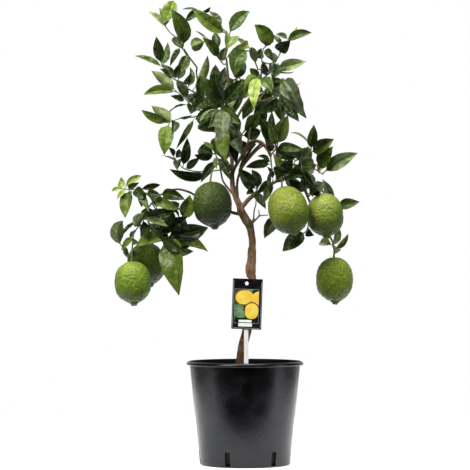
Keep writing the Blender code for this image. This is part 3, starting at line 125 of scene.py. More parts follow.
# Leafy shoots. Twig: points and the radius at each end. Leaf: where it leaves the twig (in points along
# it), tip x, y, z, blade width, turn of its face from the front (degrees), arch and sideways sweep.
SHOOTS = (
    ("shoot_top_left", ((-78, 1, 645), (-88, -4, 658), (-97, -6, 670), (-106, -7, 681), (-112, -8, 693),
                        (-122, -8, 702), (-131, -8, 714)), 1.4, 0.8, (
        (6.0, -117, 26, 754, 24, -12, 4, 0), (5.9, -139, 18, 742, 15, 165, 3, 0),
        (5.6, -157, -6, 736, 14, 78, 3, 0), (2.6, -120, -26, 739, 25, 8, 6, -11),
        (2.2, -117, 24, 694, 16, 20, 4, 0), (2.9, -122, -22, 647, 11, 20, 3, 3),
        (1.9, -110, -24, 632, 17, -14, 5, 3), (2.3, -85, -14, 656, 9, 70, 2, 9))),
    ("shoot_left_upper", ((-80, -1, 604), (-89, -10, 608), (-109, -16, 622), (-119, -18, 629),
                          (-128, -20, 639), (-136, -22, 650)), 1.3, 0.8, (
        (5.0, -144, -36, 695, 17, 14, 3, 1), (4.9, -125, 2, 686, 15, 150, 2, -2),
        (4.7, -179, -18, 664, 13, 62, 3, 0), (2.7, -134, 14, 650, 15, 160, 3, 0),
        (3.4, -138, -48, 643, 12, 40, 3, 3), (2.0, -104, 10, 648, 17, 10, 3, 0),
        (0.7, -61, -36, 664, 14, 160, 4, 4), (1.2, -89, 20, 645, 14, 140, 3, 0),
        (1.6, -88, -34, 636, 12, 30, 3, 0), (2.6, -105, -38, 653, 12, 10, 4, 2))),
    ("shoot_left_lower", ((-62, 14, 572), (-76, 18, 576), (-89, 20, 585), (-97, 21, 594),
                          (-113, 22, 607)), 1.3, 0.8, (
        (4.0, -152, 34, 639, 18, 170, 4, 0), (3.9, -165, 2, 601, 18, 30, 6, -2),
        (3.0, -121, 0, 599, 12, 30, 2, 3), (2.5, -111, 44, 625, 17, 12, 3, 0),
        (2.0, -126, 30, 563, 10, 66, 9, 6), (1.2, -88, 52, 602, 20, 10, 4, 0),
        (1.5, -88, -12, 570, 22, -8, 3, 0))),
    ("shoot_top_centre", ((-32, 1, 663), (-28, -3, 679), (-26, -6, 696), (-44, 0, 714), (-64, 6, 730),
                          (-74, 8, 738)), 1.4, 0.7, (
        (2.1, -85, -28, 740, 22, 14, 5, 3), (1.8, -31, -42, 675, 23, -4, 10, 0),
        (2.0, 8, 18, 736, 21, 8, 3, 6), (2.6, -60, 26, 737, 14, 40, 3, 0), (5.0, -103, 14, 739, 6, 40, 2, 0),
        (4.8, -56, 14, 743, 8, 50, 2, 0), (4.4, -97, -4, 719, 13, 28, 5, -4))),
    ("shoot_top_middle", ((-35, 8, 650), (-49, 16, 668), (-58, 20, 681), (-64, 22, 689)), 1.3, 0.8, (
        (0.5, -69, -10, 693, 18, 16, 4, 0), (3.0, -87, 8, 677, 22, 155, 5, 0),
        (2.8, -80, 46, 704, 12, 70, 2, -3), (0.9, -48, 44, 702, 15, 20, 3, 0),
        (0.2, -31, -4, 678, 14, -16, 3, 0), (1.8, -50, 48, 684, 14, 30, 3, 0))),
    ("shoot_top_right", ((21, -12, 642), (16, -16, 655), (10, -18, 671), (6, -19, 679)), 1.2, 0.8, (
        (3.0, -16, -34, 678, 14, 10, 6, -5), (2.8, -15, 6, 693, 10, 40, 3, 4),
        (2.4, -16, -44, 629, 28, -4, 4, -13), (2.0, -29, -34, 660, 9, 70, 3, -8),
        (0.5, 10, -40, 678, 13, 168, 3, 0), (1.4, 28, 14, 672, 16, 20, 3, 0))),
    ("shoot_right_tuft", ((27, -10, 655), (28, -12, 665), (29.5, -13, 676)), 1.0, 0.8, (
        (2.0, 15, -22, 714, 25, 6, 5, -12), (1.7, 45, -24, 657, 13, -10, 4, 4),
        (0.4, 36, 16, 631, 12, 10, 3, 0))),
    ("shoot_upper_right", ((31, -6, 653), (40, -8, 651), (50, -9, 656), (57, -8, 668), (64, -4, 680),
                           (72, -2, 690)), 1.5, 0.9, (
        (3.0, 74, -30, 689, 22, 6, 4, 5), (5.0, 50, 16, 699, 11, 24, 3, 0),
        (4.9, 84, 20, 711, 12, 160, 2, 0), (4.8, 108, -14, 701, 15, -18, 4, 4),
        (3.8, 45, 4, 699, 12, 50, 2, 3))),
    ("shoot_right_upper", ((29, 1, 627), (38, 8, 634), (48, 12, 644), (54, 14, 652)), 1.3, 0.9, (
        (3.0, 44, -14, 625, 22, 4, 6, 4), (2.4, 99, 0, 655, 20, -12, 5, -6),
        (1.0, 40, -22, 652, 11, 150, 3, 0), (1.9, 80, 26, 638, 10, 84, 3, 2),
        (2.7, 34, 34, 668, 16, 30, 4, 0))),
    ("shoot_shoulder", ((49, -6, 597), (54, -24, 604), (57, -38, 615), (58, -44, 627)), 1.5, 1.0, (
        (3.0, 99, -72, 562, 34, 24, 10, 15), (2.8, 75, -88, 590, 15, 40, 4, 3),
        (0.5, 87, -70, 557, 29, 12, 5, 6), (0.8, 17, -76, 571, 17, -26, 5, 8),
        (1.4, 34, -64, 622, 17, 4, 3, 0), (2.2, 91, -6, 620, 13, 60, 3, 0),
        (1.8, 46, -8, 618, 16, 20, 2, 0))),
    ("shoot_upper_centre", ((21, -14, 616), (22, -36, 622), (23, -56, 628), (24, -68, 633)), 1.4, 0.9, (
        (2.5, -2, -96, 594, 27, -6, 6, -4), (3.0, 15, -112, 577, 19, 16, 6, -3),
        (1.2, 8, -40, 644, 14, 30, 2, 0), (1.7, 44, -84, 604, 20, -10, 4, 3))),
    ("shoot_centre", ((-25, 0, 577), (-32, -22, 580), (-37, -44, 583), (-38, -58, 590)), 1.5, 1.0, (
        (2.9, -67, -66, 630, 20, 14, 4, 4), (3.0, -51, -84, 626, 18, -22, 3, -2),
        (2.4, -2, -66, 626, 25, -10, 4, -3), (1.6, -10, -88, 563, 19, 10, 6, 0),
        (2.0, -14, -90, 592, 12, 150, 3, 0), (1.2, -64, -34, 604, 22, 0, 5, 0))),
    ("shoot_centre_low", ((-27, -1, 566), (-34, -26, 571), (-38, -52, 577), (-39, -72, 578)), 1.4, 0.9, (
        (3.0, -42, -110, 521, 25, -8, 9, 4), (2.7, -59, -102, 547, 19, 12, 5, 0),
        (2.2, -73, -78, 556, 8, 60, 5, -6), (1.6, -81, -50, 561, 19, 20, 4, 0),
        (2.4, -8, -100, 552, 18, 20, 5, 0), (1.2, -12, -58, 540, 21, -10, 5, 0))),
    ("shoot_centre_left", ((-59, 2, 582), (-64, -6, 588), (-67, -12, 594)), 1.2, 0.9, (
        (2.0, -72, -24, 632, 14, -18, 3, 3), (1.6, -84, -44, 575, 22, 14, 5, 0),
        (1.0, -41, -24, 604, 18, 10, 4, 0), (0.6, -92, 14, 590, 18, 10, 3, 0))),
    ("shoot_middle", ((-25, 0, 543), (-31, -20, 546), (-37, -38, 549)), 1.3, 0.9, (
        (2.0, -31, -72, 493, 25, 6, 8, 3), (1.7, -77, -58, 546, 20, -10, 4, -3),
        (0.7, -5, -42, 503, 22, -12, 4, 0), (1.2, -12, -72, 532, 21, 10, 4, 0),
        (1.0, -46, -56, 506, 15, 20, 4, 0),
        (0.4, -14, -42, 487, 18, 0, 4, 2))),
    ("shoot_middle_low", ((-44, 10, 495), (-47, 6, 502), (-50, 0, 509)), 1.1, 0.9, (
        (0.6, -25, -20, 463, 17, -8, 4, 3), (1.6, -82, -6, 503, 13, -34, 3, 3),
        (2.0, -68, 6, 524, 9, 40, 2, 0), (1.2, -76, 40, 512, 20, 10, 4, 0),
        (1.0, -46, -24, 480, 9, 30, 2, 0), (0.2, -72, -12, 458, 14, 10, 3, 0))),
    ("shoot_left_middle", ((-42, 16, 478), (-60, 20, 476), (-80, 20, 476), (-98, 18, 480), (-107, 16, 488),
                           (-116, 14, 500)), 1.2, 0.8, (
        (0.8, -122, -8, 480, 16, -16, 4, 9), (3.3, -94, 0, 531, 16, 4, 4, 0),
        (3.0, -73, -2, 499, 13, -20, 3, -2), (4.5, -110, -18, 478, 14, 10, 4, 3),
        (5.0, -124, 6, 515, 10, 40, 2, 0), (4.9, -106, 24, 512, 11, 20, 2, 0),
        (4.0, -136, 24, 502, 9, 70, 2, 0))),
    ("shoot_left_tuft", ((-58, 2, 571), (-72, -14, 568), (-86, -26, 564), (-100, -34, 563), (-112, -39, 560),
                         (-124, -42, 555)), 1.2, 0.8, (
        (5.0, -131, -66, 503, 25, 6, 5, -3), (4.9, -168, -50, 576, 15, -16, 3, 2),
        (4.6, -152, -10, 582, 20, 160, 4, -2), (3.6, -85, -56, 567, 8, 60, 2, 3),
        (4.4, -118, -68, 538, 14, -20, 3, 0), (1.7, -112, -46, 513, 11, 34, 4, 4),
        (1.0, -72, -52, 550, 13, 10, 3, 0))),
    ("shoot_arm_tip", ((-151, 1, 430), (-160, -4, 440), (-175, -7, 446), (-190, -8, 447),
                       (-204, -8, 448)), 1.2, 0.8, (
        (4.0, -217, -16, 444, 8, 30, 2, 0), (3.9, -201, 4, 467, 14, 160, 2, -3),
        (3.8, -168, 8, 469, 11, -20, 3, 3), (3.5, -172, -22, 458, 10, 20, 3, 2),
        (1.8, -137, 2, 454, 11, 24, 3, 3), (3.3, -195, -28, 401, 20, 8, 4, 0),
        (3.7, -208, -26, 431, 9, 20, 2, 0), (3.1, -186, -36, 424, 9, 30, 2, 0),
        (2.7, -160, -34, 430, 17, -8, 4, 2), (1.4, -168, -32, 418, 14, 10, 4, 0),
        (1.1, -137, -26, 438, 12, -20, 3, 0),
        (2.3, -156, -38, 410, 13, 10, 4, 0))),
    ("shoot_arm", ((-134, 5, 440), (-141, 4, 435), (-151, 2, 425), (-157, 0, 417), (-163, -2, 407),
                   (-169, -3, 394), (-175, -4, 384), (-182, -5, 373), (-191, -7, 362), (-200, -8, 352)),
     1.6, 0.9, (
        (0.6, -98, -22, 430, 18, 6, 5, 3), (1.8, -105, -34, 413, 16, -6, 7, 5),
        (4.3, -114, -18, 411, 21, 10, 6, -4), (4.7, -124, -30, 386, 11, -30, 4, 3),
        (3.4, -180, -30, 386, 16, 165, 4, 0), (5.0, -200, -14, 370, 10, 52, 4, -3),
        (7.2, -201, -26, 348, 11, 20, 3, 2), (9.0, -198, -36, 396, 22, 165, 3, -9),
        (8.7, -189, -22, 334, 9, 20, 2, 0), (6.3, -187, 18, 364, 9, 60, 2, 0),
        (4.6, -168, 26, 364, 18, 10, 4, 0))),
    ("shoot_fan", ((-159, 6, 400), (-154, 10, 387), (-147, 12, 377), (-136, 12, 370), (-125, 11, 365)),
     1.5, 1.0, (
        (2.9, -93, -8, 402, 19, 8, 4, 4), (3.7, -60, 6, 384, 31, -6, 5, -1),
        (4.0, -76, -24, 366, 19, 10, 5, 3), (3.9, -60, 26, 347, 29, -12, 3, 1),
        (3.5, -109, -34, 275, 45, 4, 8, 18), (3.3, -93, -48, 340, 17, 12, 6, 0),
        (3.0, -178, -22, 354, 25, 20, 6, 7), (1.6, -171, -26, 353, 16, 14, 3, 0),
        (1.0, -163, -26, 367, 10, 24, 3, 0), (2.3, -120, 52, 388, 22, 10, 4, 0))),
    ("shoot_fan_upper", ((-134, 9, 375), (-121, 4, 384), (-110, 1, 393), (-104, 0, 400)), 1.2, 0.9, (
        (3.0, -90, -14, 438, 24, -8, 3, -4), (2.7, -120, -18, 417, 9, 40, 3, 0),
        (2.0, -88, 34, 372, 22, 14, 4, 0))),
    ("shoot_fruit_left", ((-180, -9, 380), (-182, -14, 368), (-183, -19, 354), (-184, -22, 342)), 1.4, 1.3, (
        (1.4, -172, -50, 360, 11, 20, 3, 0), (2.4, -176, -4, 342, 10, 20, 3, 0))),
    ("shoot_right_centre", ((44, -21, 505), (48, -40, 510), (53, -56, 518)), 1.5, 1.0, (
        (2.0, 70, -86, 567, 25, 8, 4, 3), (1.8, 24, -76, 563, 24, -10, 4, -4),
        (1.9, 38, -96, 556, 14, 40, 3, 0), (1.4, 99, -80, 510, 15, -8, 8, 4),
        (1.1, 83, -58, 498, 17, 8, 8, 4), (1.5, 44, -34, 574, 15, 16, 3, 0),
        (0.7, 32, -76, 530, 12, 30, 3, 0))),
    ("shoot_arch_tip", ((42, -18, 496), (43, -21, 487), (44, -24, 478)), 1.2, 0.9, (
        (1.0, 1, -36, 483, 14, -6, 4, -3), (0.4, 20, -28, 501, 9, 30, 2, 0),
        (0.7, 25, -10, 493, 8, 40, 2, 0), (1.6, 41, -34, 440, 9, 50, 3, 0),
        (1.8, 72, -46, 478, 19, 20, 5, 3))),
    ("shoot_right_low", ((57, 3, 464), (60, -6, 466), (66, -12, 464)), 1.4, 1.0, (
        (0.9, 46, -40, 506, 20, 4, 4, 4), (1.9, 78, -40, 498, 21, -8, 4, 3),
        (1.3, 98, -30, 470, 18, 10, 5, 2))),
    ("shoot_front_low", ((15, -9, 441), (18, -14, 444), (22, -20, 452)), 1.3, 1.0, (
        (1.0, -10, -40, 481, 22, 8, 4, 4), (0.8, 11, -18, 479, 17, 24, 3, -2),
        (0.5, 34, -34, 415, 14, -10, 4, -3), (0.2, 2, -22, 439, 12, 24, 3, 0))),
    ("shoot_front_right", ((41, -1, 451), (43, -8, 456), (46, -14, 463)), 1.3, 0.9, (
        (0.6, 20, -32, 442, 15, -10, 4, -3), (2.0, 36, -10, 484, 10, 40, 2, 0),
        (1.6, 30, -46, 424, 14, 20, 4, 0))),
    ("shoot_behind_lemons", ((98, 13, 449), (101, 7, 441), (103, 3, 436)), 1.3, 1.0, (
        (1.0, 98, -20, 477, 22, 6, 4, 2), (1.3, 70, -6, 463, 14, 12, 4, 0),
        (1.8, 127, 6, 459, 24, 14, 5, -3), (2.0, 111, -36, 452, 14, 40, 7, -6),
        (0.7, 110, 34, 471, 14, 20, 4, 0))),
    ("shoot_right_reach", ((87, 14, 479), (88, 9, 489), (91, 4, 497), (101, 0, 501), (106, -2, 507),
                           (108, -2, 514)), 1.3, 0.9, (
        (5.0, 74, -8, 539, 11, 68, 6, -4), (4.7, 112, -12, 552, 17, 4, 3, 2),
        (4.5, 144, -20, 529, 22, -10, 4, -3), (1.6, 70, -22, 503, 15, 20, 5, 0),
        (1.3, 112, -20, 452, 14, 50, 12, 10), (1.0, 104, 38, 516, 20, 20, 4, 0))),
    ("shoot_far_right", ((91, 16, 482), (107, 13, 483), (118, 8, 477), (127, 5, 471)), 1.2, 0.9, (
        (3.0, 183, -12, 506, 24, -16, 3, 3), (2.0, 142, -6, 517, 26, -28, 4, -3),
        (1.6, 104, -10, 490, 10, 30, 2, 0), (2.4, 116, 36, 488, 12, 140, 2, 0))),
    ("shoot_behind_right", ((121, 31, 405), (135, 32, 414), (147, 31, 420)), 1.2, 0.9, (
        (2.0, 186, 20, 427, 19, -20, 3, -3), (1.4, 126, 26, 463, 17, 20, 4, 0),
        (1.1, 120, 62, 440, 20, 10, 4, 0))),
    ("shoot_fruit_right", ((143, 16, 357), (144, 11, 351), (145, 8, 347)), 1.4, 1.2, (
        (0.6, 121, -14, 361, 16, 150, 3, 0), (1.4, 168, 0, 375, 10, 20, 2, -3),
        (1.0, 156, 36, 349, 14, 150, 3, 0), (0.9, 151, 26, 388, 15, 150, 3, 0))),
    ("shoot_under_front", ((108, 20, 417), (104, 13, 400), (102, 6, 385), (99, 2, 377)), 1.3, 1.0, (
        (3.0, 61, -16, 346, 25, 10, 5, -2), (2.6, 112, -22, 372, 14, 24, 3, 0))),
    ("shoot_under_centre", ((101, 17, 411), (84, 18, 406), (68, 14, 401), (54, 8, 396)), 1.2, 0.9, (
        (3.0, 32, -6, 367, 21, -14, 3, -8), (2.0, 52, 44, 428, 22, 10, 4, 0))),
    ("shoot_inner_left", ((-52, 16, 579), (-50, 30, 588), (-48, 42, 598)), 1.3, 0.9, (
        (2.0, -76, 62, 612, 24, 10, 4, 0), (1.8, -28, 66, 622, 24, -10, 4, 0),
        (1.2, -88, 44, 580, 22, 20, 4, 0), (0.9, -56, 62, 560, 22, 160, 4, 0),
        (1.5, -34, 78, 584, 22, 10, 5, 0), (1.9, -48, 52, 650, 20, 10, 4, 0),
        (1.7, -32, 60, 646, 18, 10, 4, 0))),
    ("shoot_inner_right", ((24, 3, 594), (28, 16, 600), (32, 28, 606)), 1.3, 0.9, (
        (2.0, 60, 40, 624, 23, 10, 4, 0), (1.8, 4, 46, 626, 23, -10, 4, 0),
        (1.3, 52, 56, 586, 24, 10, 5, 0), (0.9, -4, 34, 560, 22, 20, 4, 0),
        (1.6, 76, 34, 600, 22, -10, 4, 0), (0.6, 26, 40, 548, 22, 10, 4, 0))),
    ("shoot_inner_middle", ((-17, 9, 523), (-8, 18, 532), (-2, 26, 541)), 1.3, 0.9, (
        (2.0, 20, 46, 566, 22, 10, 4, 0), (1.8, -30, 50, 562, 23, 10, 4, 0),
        (1.0, -26, 44, 500, 21, 20, 5, 0), (1.4, 26, 26, 542, 20, 20, 4, 0),
        (1.8, 24, 20, 576, 20, 10, 4, 0), (0.7, 1, 24, 505, 18, 10, 4, 0))),
    ("shoot_inner_low", ((73, 16, 476), (78, 26, 486), (82, 34, 495)), 1.3, 0.9, (
        (2.0, 58, 50, 516, 22, 10, 4, 0), (1.8, 104, 52, 510, 20, 10, 4, 0),
        (1.0, 60, 38, 478, 21, 20, 4, 0), (1.2, 108, 46, 468, 22, 160, 4, 0),
        (1.5, 84, 64, 466, 20, 10, 4, 0))),
    ("shoot_inner_arm", ((-149, 8, 421), (-144, 14, 414), (-138, 18, 409)), 1.2, 0.9, (
        (2.0, -106, 24, 424, 20, 10, 4, 0), (1.8, -112, 36, 398, 20, -10, 4, 0),
        (1.0, -168, 28, 400, 18, 20, 4, 0), (1.3, -150, 40, 440, 20, 20, 4, 0))),
    ("shoot_inner_fan", ((-129, 17, 361), (-122, 24, 353), (-116, 29, 347)), 1.2, 0.9, (
        (2.0, -78, 44, 376, 24, 10, 5, 0), (1.8, -96, 40, 398, 22, -10, 4, 0),
        (1.0, -156, 42, 392, 22, 20, 4, 0), (1.5, -84, 50, 346, 20, 160, 4, 0))),
    ("shoot_back_upper", ((-21, 12, 602), (-20, 40, 614), (-16, 72, 622), (-10, 98, 630)), 1.5, 0.9, (
        (3.0, 8, 136, 602, 26, -10, 6, 0), (2.8, -46, 138, 606, 26, 10, 6, 0),
        (2.3, 30, 92, 606, 24, 10, 5, 0), (1.6, -66, 78, 600, 25, 170, 5, 0),
        (1.2, -20, 82, 566, 25, 160, 5, 0), (2.5, -20, 120, 566, 25, 170, 6, 0),
        (1.9, -2, 74, 660, 20, 20, 4, 0))),
    ("shoot_back_right", ((40, 3, 595), (48, 32, 597), (56, 64, 598), (62, 88, 600)), 1.5, 0.9, (
        (3.0, 84, 128, 582, 25, -10, 6, 0), (2.7, 34, 122, 612, 25, 10, 5, 0),
        (2.0, 88, 76, 572, 23, 10, 5, 0), (1.4, 20, 70, 584, 24, 20, 5, 0),
        (2.4, 60, 106, 556, 24, 165, 6, 0), (1.7, 62, 56, 628, 20, 10, 4, 0))),
    ("shoot_back_middle", ((-25, 12, 520), (-32, 40, 526), (-40, 70, 532), (-44, 92, 538)), 1.5, 0.9, (
        (3.0, -74, 126, 554, 25, 10, 6, 0), (2.8, -16, 132, 548, 25, -10, 6, 0),
        (2.2, -66, 84, 574, 23, 10, 5, 0), (1.6, -4, 74, 536, 22, 10, 5, 0),
        (1.2, -34, 76, 490, 23, 170, 5, 0), (2.5, -40, 108, 500, 22, 170, 5, 0))),
    ("shoot_back_low", ((76, 18, 474), (79, 44, 478), (80, 70, 482), (82, 90, 488)), 1.5, 0.9, (
        (3.0, 108, 124, 470, 23, 10, 6, 0), (2.8, 56, 130, 484, 23, -10, 6, 0),
        (2.2, 50, 78, 458, 23, 10, 5, 0), (1.6, 112, 76, 494, 22, 20, 5, 0),
        (1.2, 84, 80, 444, 22, 170, 5, 0))),
)

# The tones are partly the leaves' own colour and partly painted light and shade: darker tones paint leaves in
# shade, lighter and greyer ones partly paint lit leaves and their sheen.
# Tone of each shoot's leaves, in their order: dark, mid, bright, lime, grey or pale
TONE_NAMES = {"D": "dark", "M": "mid", "B": "bright", "L": "lime", "G": "grey", "P": "pale"}
TONES = {
    "shoot_top_left": "BPPMDDMD", "shoot_left_upper": "DMMMDMPMMD", "shoot_left_lower": "PBDDDDD",
    "shoot_top_centre": "BBMDDDD", "shoot_top_middle": "MPPDGM", "shoot_top_right": "LDMDPD",
    "shoot_right_tuft": "BDD", "shoot_upper_right": "DDPMD", "shoot_right_upper": "DPPDD",
    "shoot_shoulder": "GGDDMPD", "shoot_upper_centre": "BLDM", "shoot_centre": "DDDDPD",
    "shoot_centre_low": "GPPDMD", "shoot_centre_left": "MDDD", "shoot_middle": "BDGDMD",
    "shoot_middle_low": "DDBDBD", "shoot_left_middle": "DDDDDDD", "shoot_left_tuft": "BBPMDDD",
    "shoot_arm_tip": "LLLMMBLMDDDM", "shoot_arm": "DBDPPDBPMDD", "shoot_fan": "DDDLBDBDDD",
    "shoot_fan_upper": "BDD", "shoot_fruit_left": "MD", "shoot_right_centre": "BDBMDDD",
    "shoot_arch_tip": "DDDDD", "shoot_right_low": "BMD", "shoot_front_low": "DGDD",
    "shoot_front_right": "DDM", "shoot_behind_lemons": "DDGDD", "shoot_right_reach": "PMMDDD",
    "shoot_far_right": "PMPP", "shoot_behind_right": "MGD", "shoot_fruit_right": "PLPP",
    "shoot_under_front": "MD", "shoot_under_centre": "GD", "shoot_inner_left": "DMDDMDD",
    "shoot_inner_right": "DDMDDM", "shoot_inner_middle": "MDDDMD", "shoot_inner_low": "DDMDD",
    "shoot_inner_arm": "DMDD", "shoot_inner_fan": "MDDM", "shoot_back_upper": "MDDMDBD",
    "shoot_back_right": "DMDDMD", "shoot_back_middle": "DDMDDM", "shoot_back_low": "MDDMD",
}

# How far a leaf's tip may be drawn forward or back, and its face turned, to clear its neighbours
EASE_DEPTH = (0, -8, 8, -16, 16, -25, 25, -35, 35, -46, 46, -60, 60)
EASE_TURN = (0, 18, -18, 36, -36)

# Stage, in metres
FLOOR_FRONT = 0.27
FLOOR_GLOW = 0.7
ROOM_LIGHT = (0.17, 0.30)      # strength of the room's light from below and from above
MIRRORED_ROOM = (0.5, 0.12)    # share of it that shiny surfaces mirror, low down and high up
MIRRORED_BACKDROP = 0.55       # strength of the backdrop that they mirror
# Soft boxes: place, what it faces, width, height and power
SOFT_BOXES = {
    "key": ((-1.3, -1.5, 2.3), (0, 0, 0.45), 1.1, 1.1, 62),
    "top": ((0.1, -0.1, 2.4), (0, 0, 0.4), 1.2, 1.2, 50),
    "right": ((2.0, -0.5, 0.7), (0, 0, 0.35), 0.8, 1.6, 12),
}
CAMERA_AT = (0.0, -3.55, 0.323)
CAMERA_LENS = 167.4
IMAGE_SIDE = 470
CAMERA_SHIFT = (-10 / IMAGE_SIDE, 30.6 / IMAGE_SIDE)

# Pot, turned: radius and height of points from the middle of the underside, round the wall and back
POT_PROFILE = ((62, 0.9), (66, 0.9), (67.4, 0.2), (71, 0.0), (72.6, 0.8), (73.5, 2.6), (74.0, 8), (75.4, 22),
               (77.9, 46), (80.4, 71), (82.9, 96), (85.3, 120), (87.6, 142), (89.0, 156), (89.5, 161),
               (90.6, 161.6), (92.6, 161.3), (94.2, 161.7), (94.9, 162.8), (95.0, 164.0), (94.5, 165.4),
               (93.4, 166.7), (92.0, 167.6), (90.6, 168.0), (89.4, 167.3), (88.5, 165.8), (87.9, 161),
               (85.0, 132), (80.4, 85), (75.9, 40), (72.4, 8.4), (71.2, 4.4), (69, 2.4), (64, 2.2))
POT_SIDES = 120
SLOT_COUNT = 6
SLOT_FIRST = -22.0        # degrees from the front, towards +X
SLOT_SIZE = (8.6, 16.0, 22.4)   # width, depth, height
SLOT_FOOT = 2.6
SLOT_PLACE = 74           # distance of a slot's middle from the pot's axis
SOILED_FROM = 10          # height from which the inside of the wall is dulled by soil

# Potting soil inside it: radius and height
SOIL_PROFILE = ((60, 2.7), (68, 2.8), (71.6, 8.8), (75.5, 42), (80.1, 87), (84.6, 132), (85.6, 142.6),
                (84.4, 144.2), (80, 144.6), (73, 144.9), (65, 145.2), (56, 145.6), (46, 145.9), (36, 146.2),
                (27, 146.5), (19, 146.7), (12, 146.9), (6, 147.0))
SOIL_SIDES = 72
SOIL_TOP = 144.4          # height from which the soil is lumpy
CRUMB_SPREAD = 79         # largest distance of a crumb from the pot's axis
# Crumbs of peat, bark and perlite: their shares, and the size of each along x, y and z
CRUMB_SHARES = (0.62, 0.33, 0.05)
CRUMB_SHAPES = ((1.0, 1.0, 0.8), (2.6, 1.3, 0.5), (0.9, 0.9, 0.9))

# Bark: it starts to look young below this radius, and is fully young this much below it
YOUNG_BELOW = 3.9
YOUNG_FADE = 1.7
FOOT_DARKENING = (170, 250)   # heights between which the trunk's darker foot fades out

# Lemon, turned: share of its largest radius, share of its length from the stem end
LEMON_TURN = ((0.10, 0.012), (0.17, 0.003), (0.27, 0.004), (0.38, 0.020), (0.51, 0.048), (0.645, 0.088),
              (0.77, 0.145), (0.88, 0.22), (0.95, 0.30), (0.99, 0.39), (1.0, 0.47), (0.99, 0.55),
              (0.96, 0.635), (0.90, 0.71), (0.80, 0.775), (0.68, 0.825), (0.56, 0.865), (0.45, 0.893),
              (0.35, 0.912), (0.27, 0.928), (0.215, 0.947), (0.185, 0.966), (0.15, 0.984), (0.10, 0.996),
              (0.05, 1.0))
LEMON_SIDES = 40
# Each lemon: its shade, the shade of its side towards the light, where that side faces, roll about its axis.
# The blend between the two shades is partly a riper flush and partly painted light and shade: the side facing
# mostly towards the key light is painted lighter.
RIPENESS_AND_PAINTED_LIGHT = {
    "lemon_front": ("#5e7418", "#aab444", (-0.5, -0.6, 0.7), 10),
    "lemon_right": ("#5c7218", "#a2b046", (-0.4, -0.5, 0.8), 75),
    "lemon_low_right": ("#6c8212", "#80942a", (0.8, -0.4, 0.2), 130),
    "lemon_centre": ("#28380b", "#5a6c2c", (-0.6, -0.5, 0.6), 200),
    "lemon_low_left": ("#688a14", "#92a83a", (-0.4, -0.6, 0.7), 260),
    "lemon_back_left": ("#42580c", "#62781a", (0.4, -0.5, 0.3), 320),
}
CALYX_RADIUS = 4.4
CALYX_LOBES = 5
STALK = 1.5

# Leaf masters: for each row from foot to tip, share of the length, share of half the width, and how far
# its left and right edges wave up, in millimetres on a leaf of the master's size
LEAF_LENGTH = 60.0
LEAF_WIDTH = 24.0
LEAF_COLUMNS = 4
LEAF_MASTERS = {
    "broad": (
        (0, 0.075, 0, 0), (0.12, 0.065, 0, 0), (0.15, 0.13, 0, 0), (0.20, 0.42, 0.2, 0),
        (0.28, 0.76, 0.5, 0.1), (0.38, 0.96, -0.1, 0.5), (0.49, 1.0, 0.3, -0.2), (0.60, 0.97, 0.6, 0.2),
        (0.71, 0.83, 0, 0.6), (0.82, 0.58, 0.2, 0), (0.92, 0.27, -0.4, -0.2), (1.0, 0.02, -1.2, -1.2)),
    "slender": (
        (0, 0.08, 0, 0), (0.13, 0.07, 0, 0), (0.16, 0.15, 0, 0), (0.23, 0.45, -0.1, 0.3),
        (0.32, 0.78, 0.6, 0), (0.43, 0.97, 0.1, 0.7), (0.54, 1.0, 0.8, 0.1), (0.65, 0.90, 0, 0.6),
        (0.76, 0.68, 0.4, 0), (0.86, 0.42, 0, 0.2), (0.94, 0.19, -0.5, -0.5), (1.0, 0.02, -1.6, -1.4)),
    "wavy": (
        (0, 0.075, 0, 0), (0.12, 0.065, 0, 0), (0.15, 0.14, 0, 0), (0.21, 0.46, 0.7, -0.4),
        (0.30, 0.80, -0.5, 1.0), (0.40, 0.98, 1.2, -0.3), (0.51, 1.0, -0.5, 1.1), (0.62, 0.93, 1.1, -0.6),
        (0.73, 0.76, -0.4, 1.0), (0.83, 0.52, 0.8, -0.2), (0.92, 0.25, -0.4, 0.2), (1.0, 0.02, -0.6, -0.6)),
    "cupped": (
        (0, 0.08, 0, 0), (0.12, 0.07, 0, 0), (0.15, 0.15, 0, 0), (0.21, 0.50, 0.5, 0.5),
        (0.30, 0.84, 1.0, 1.0), (0.40, 0.99, 1.4, 1.2), (0.51, 1.0, 1.5, 1.4), (0.62, 0.95, 1.2, 1.6),
        (0.73, 0.80, 1.0, 1.2), (0.83, 0.56, 0.6, 0.8), (0.92, 0.27, 0.2, 0.2), (1.0, 0.02, 0.4, 0.4)),
}
# Rise of a blade's quarters and edges over its midrib, as shares of the fold
CREASE = {"broad": (0.62, 1.0), "slender": (0.38, 1.25), "wavy": (0.72, 0.95), "cupped": (0.30, 1.1)}
LEAF_CREASE = 0.42        # rise of a blade's edges over its midrib, per half width

# Tag: width, thickness and height of the card, and its middle. The rest is placed from that middle.
TAG_SIZE = (48.4, 0.8, 81.6)
TAG_CENTRE = (3.3, -21.0, 261.0)
TAG_CORNER = 1.2          # radius of the card's corners
TAG_LEAN = 2.0            # degrees, top towards +X
TAG_HOLE = (3.0, -1.4, 33.2)   # radius, place across and height over the middle of the card
PICTURE = (-0.6, -3.6, 38.4, 54.4)   # middle x, z, width, height
# Printed lemons: stem end x, z, radius, length, lean (degrees) and layer
PRINTED_LEMONS = (((10.0, 11.6), 11.9, 32.0, 86, 0.20), ((25.0, 18.0), 10.6, 27.0, 42, 0.08),
                  ((7.0, -24.0), 11.4, 28.5, 184, 0.40))
# Printed leaves: middle x, z, half width, half height
PRINTED_LEAVES = (((-13.0, -6.0), (8.5, 6.2)), ((-10.5, -16.5), (12.5, 6.4)), ((4.5, 22.5), (5.0, 3.6)))
# Blank label strips: middle x, z, half width, half height
LABELS = (((-2.2, -27.6), (10.4, 1.9)), ((-2.0, -33.6), (11.0, 2.8)))
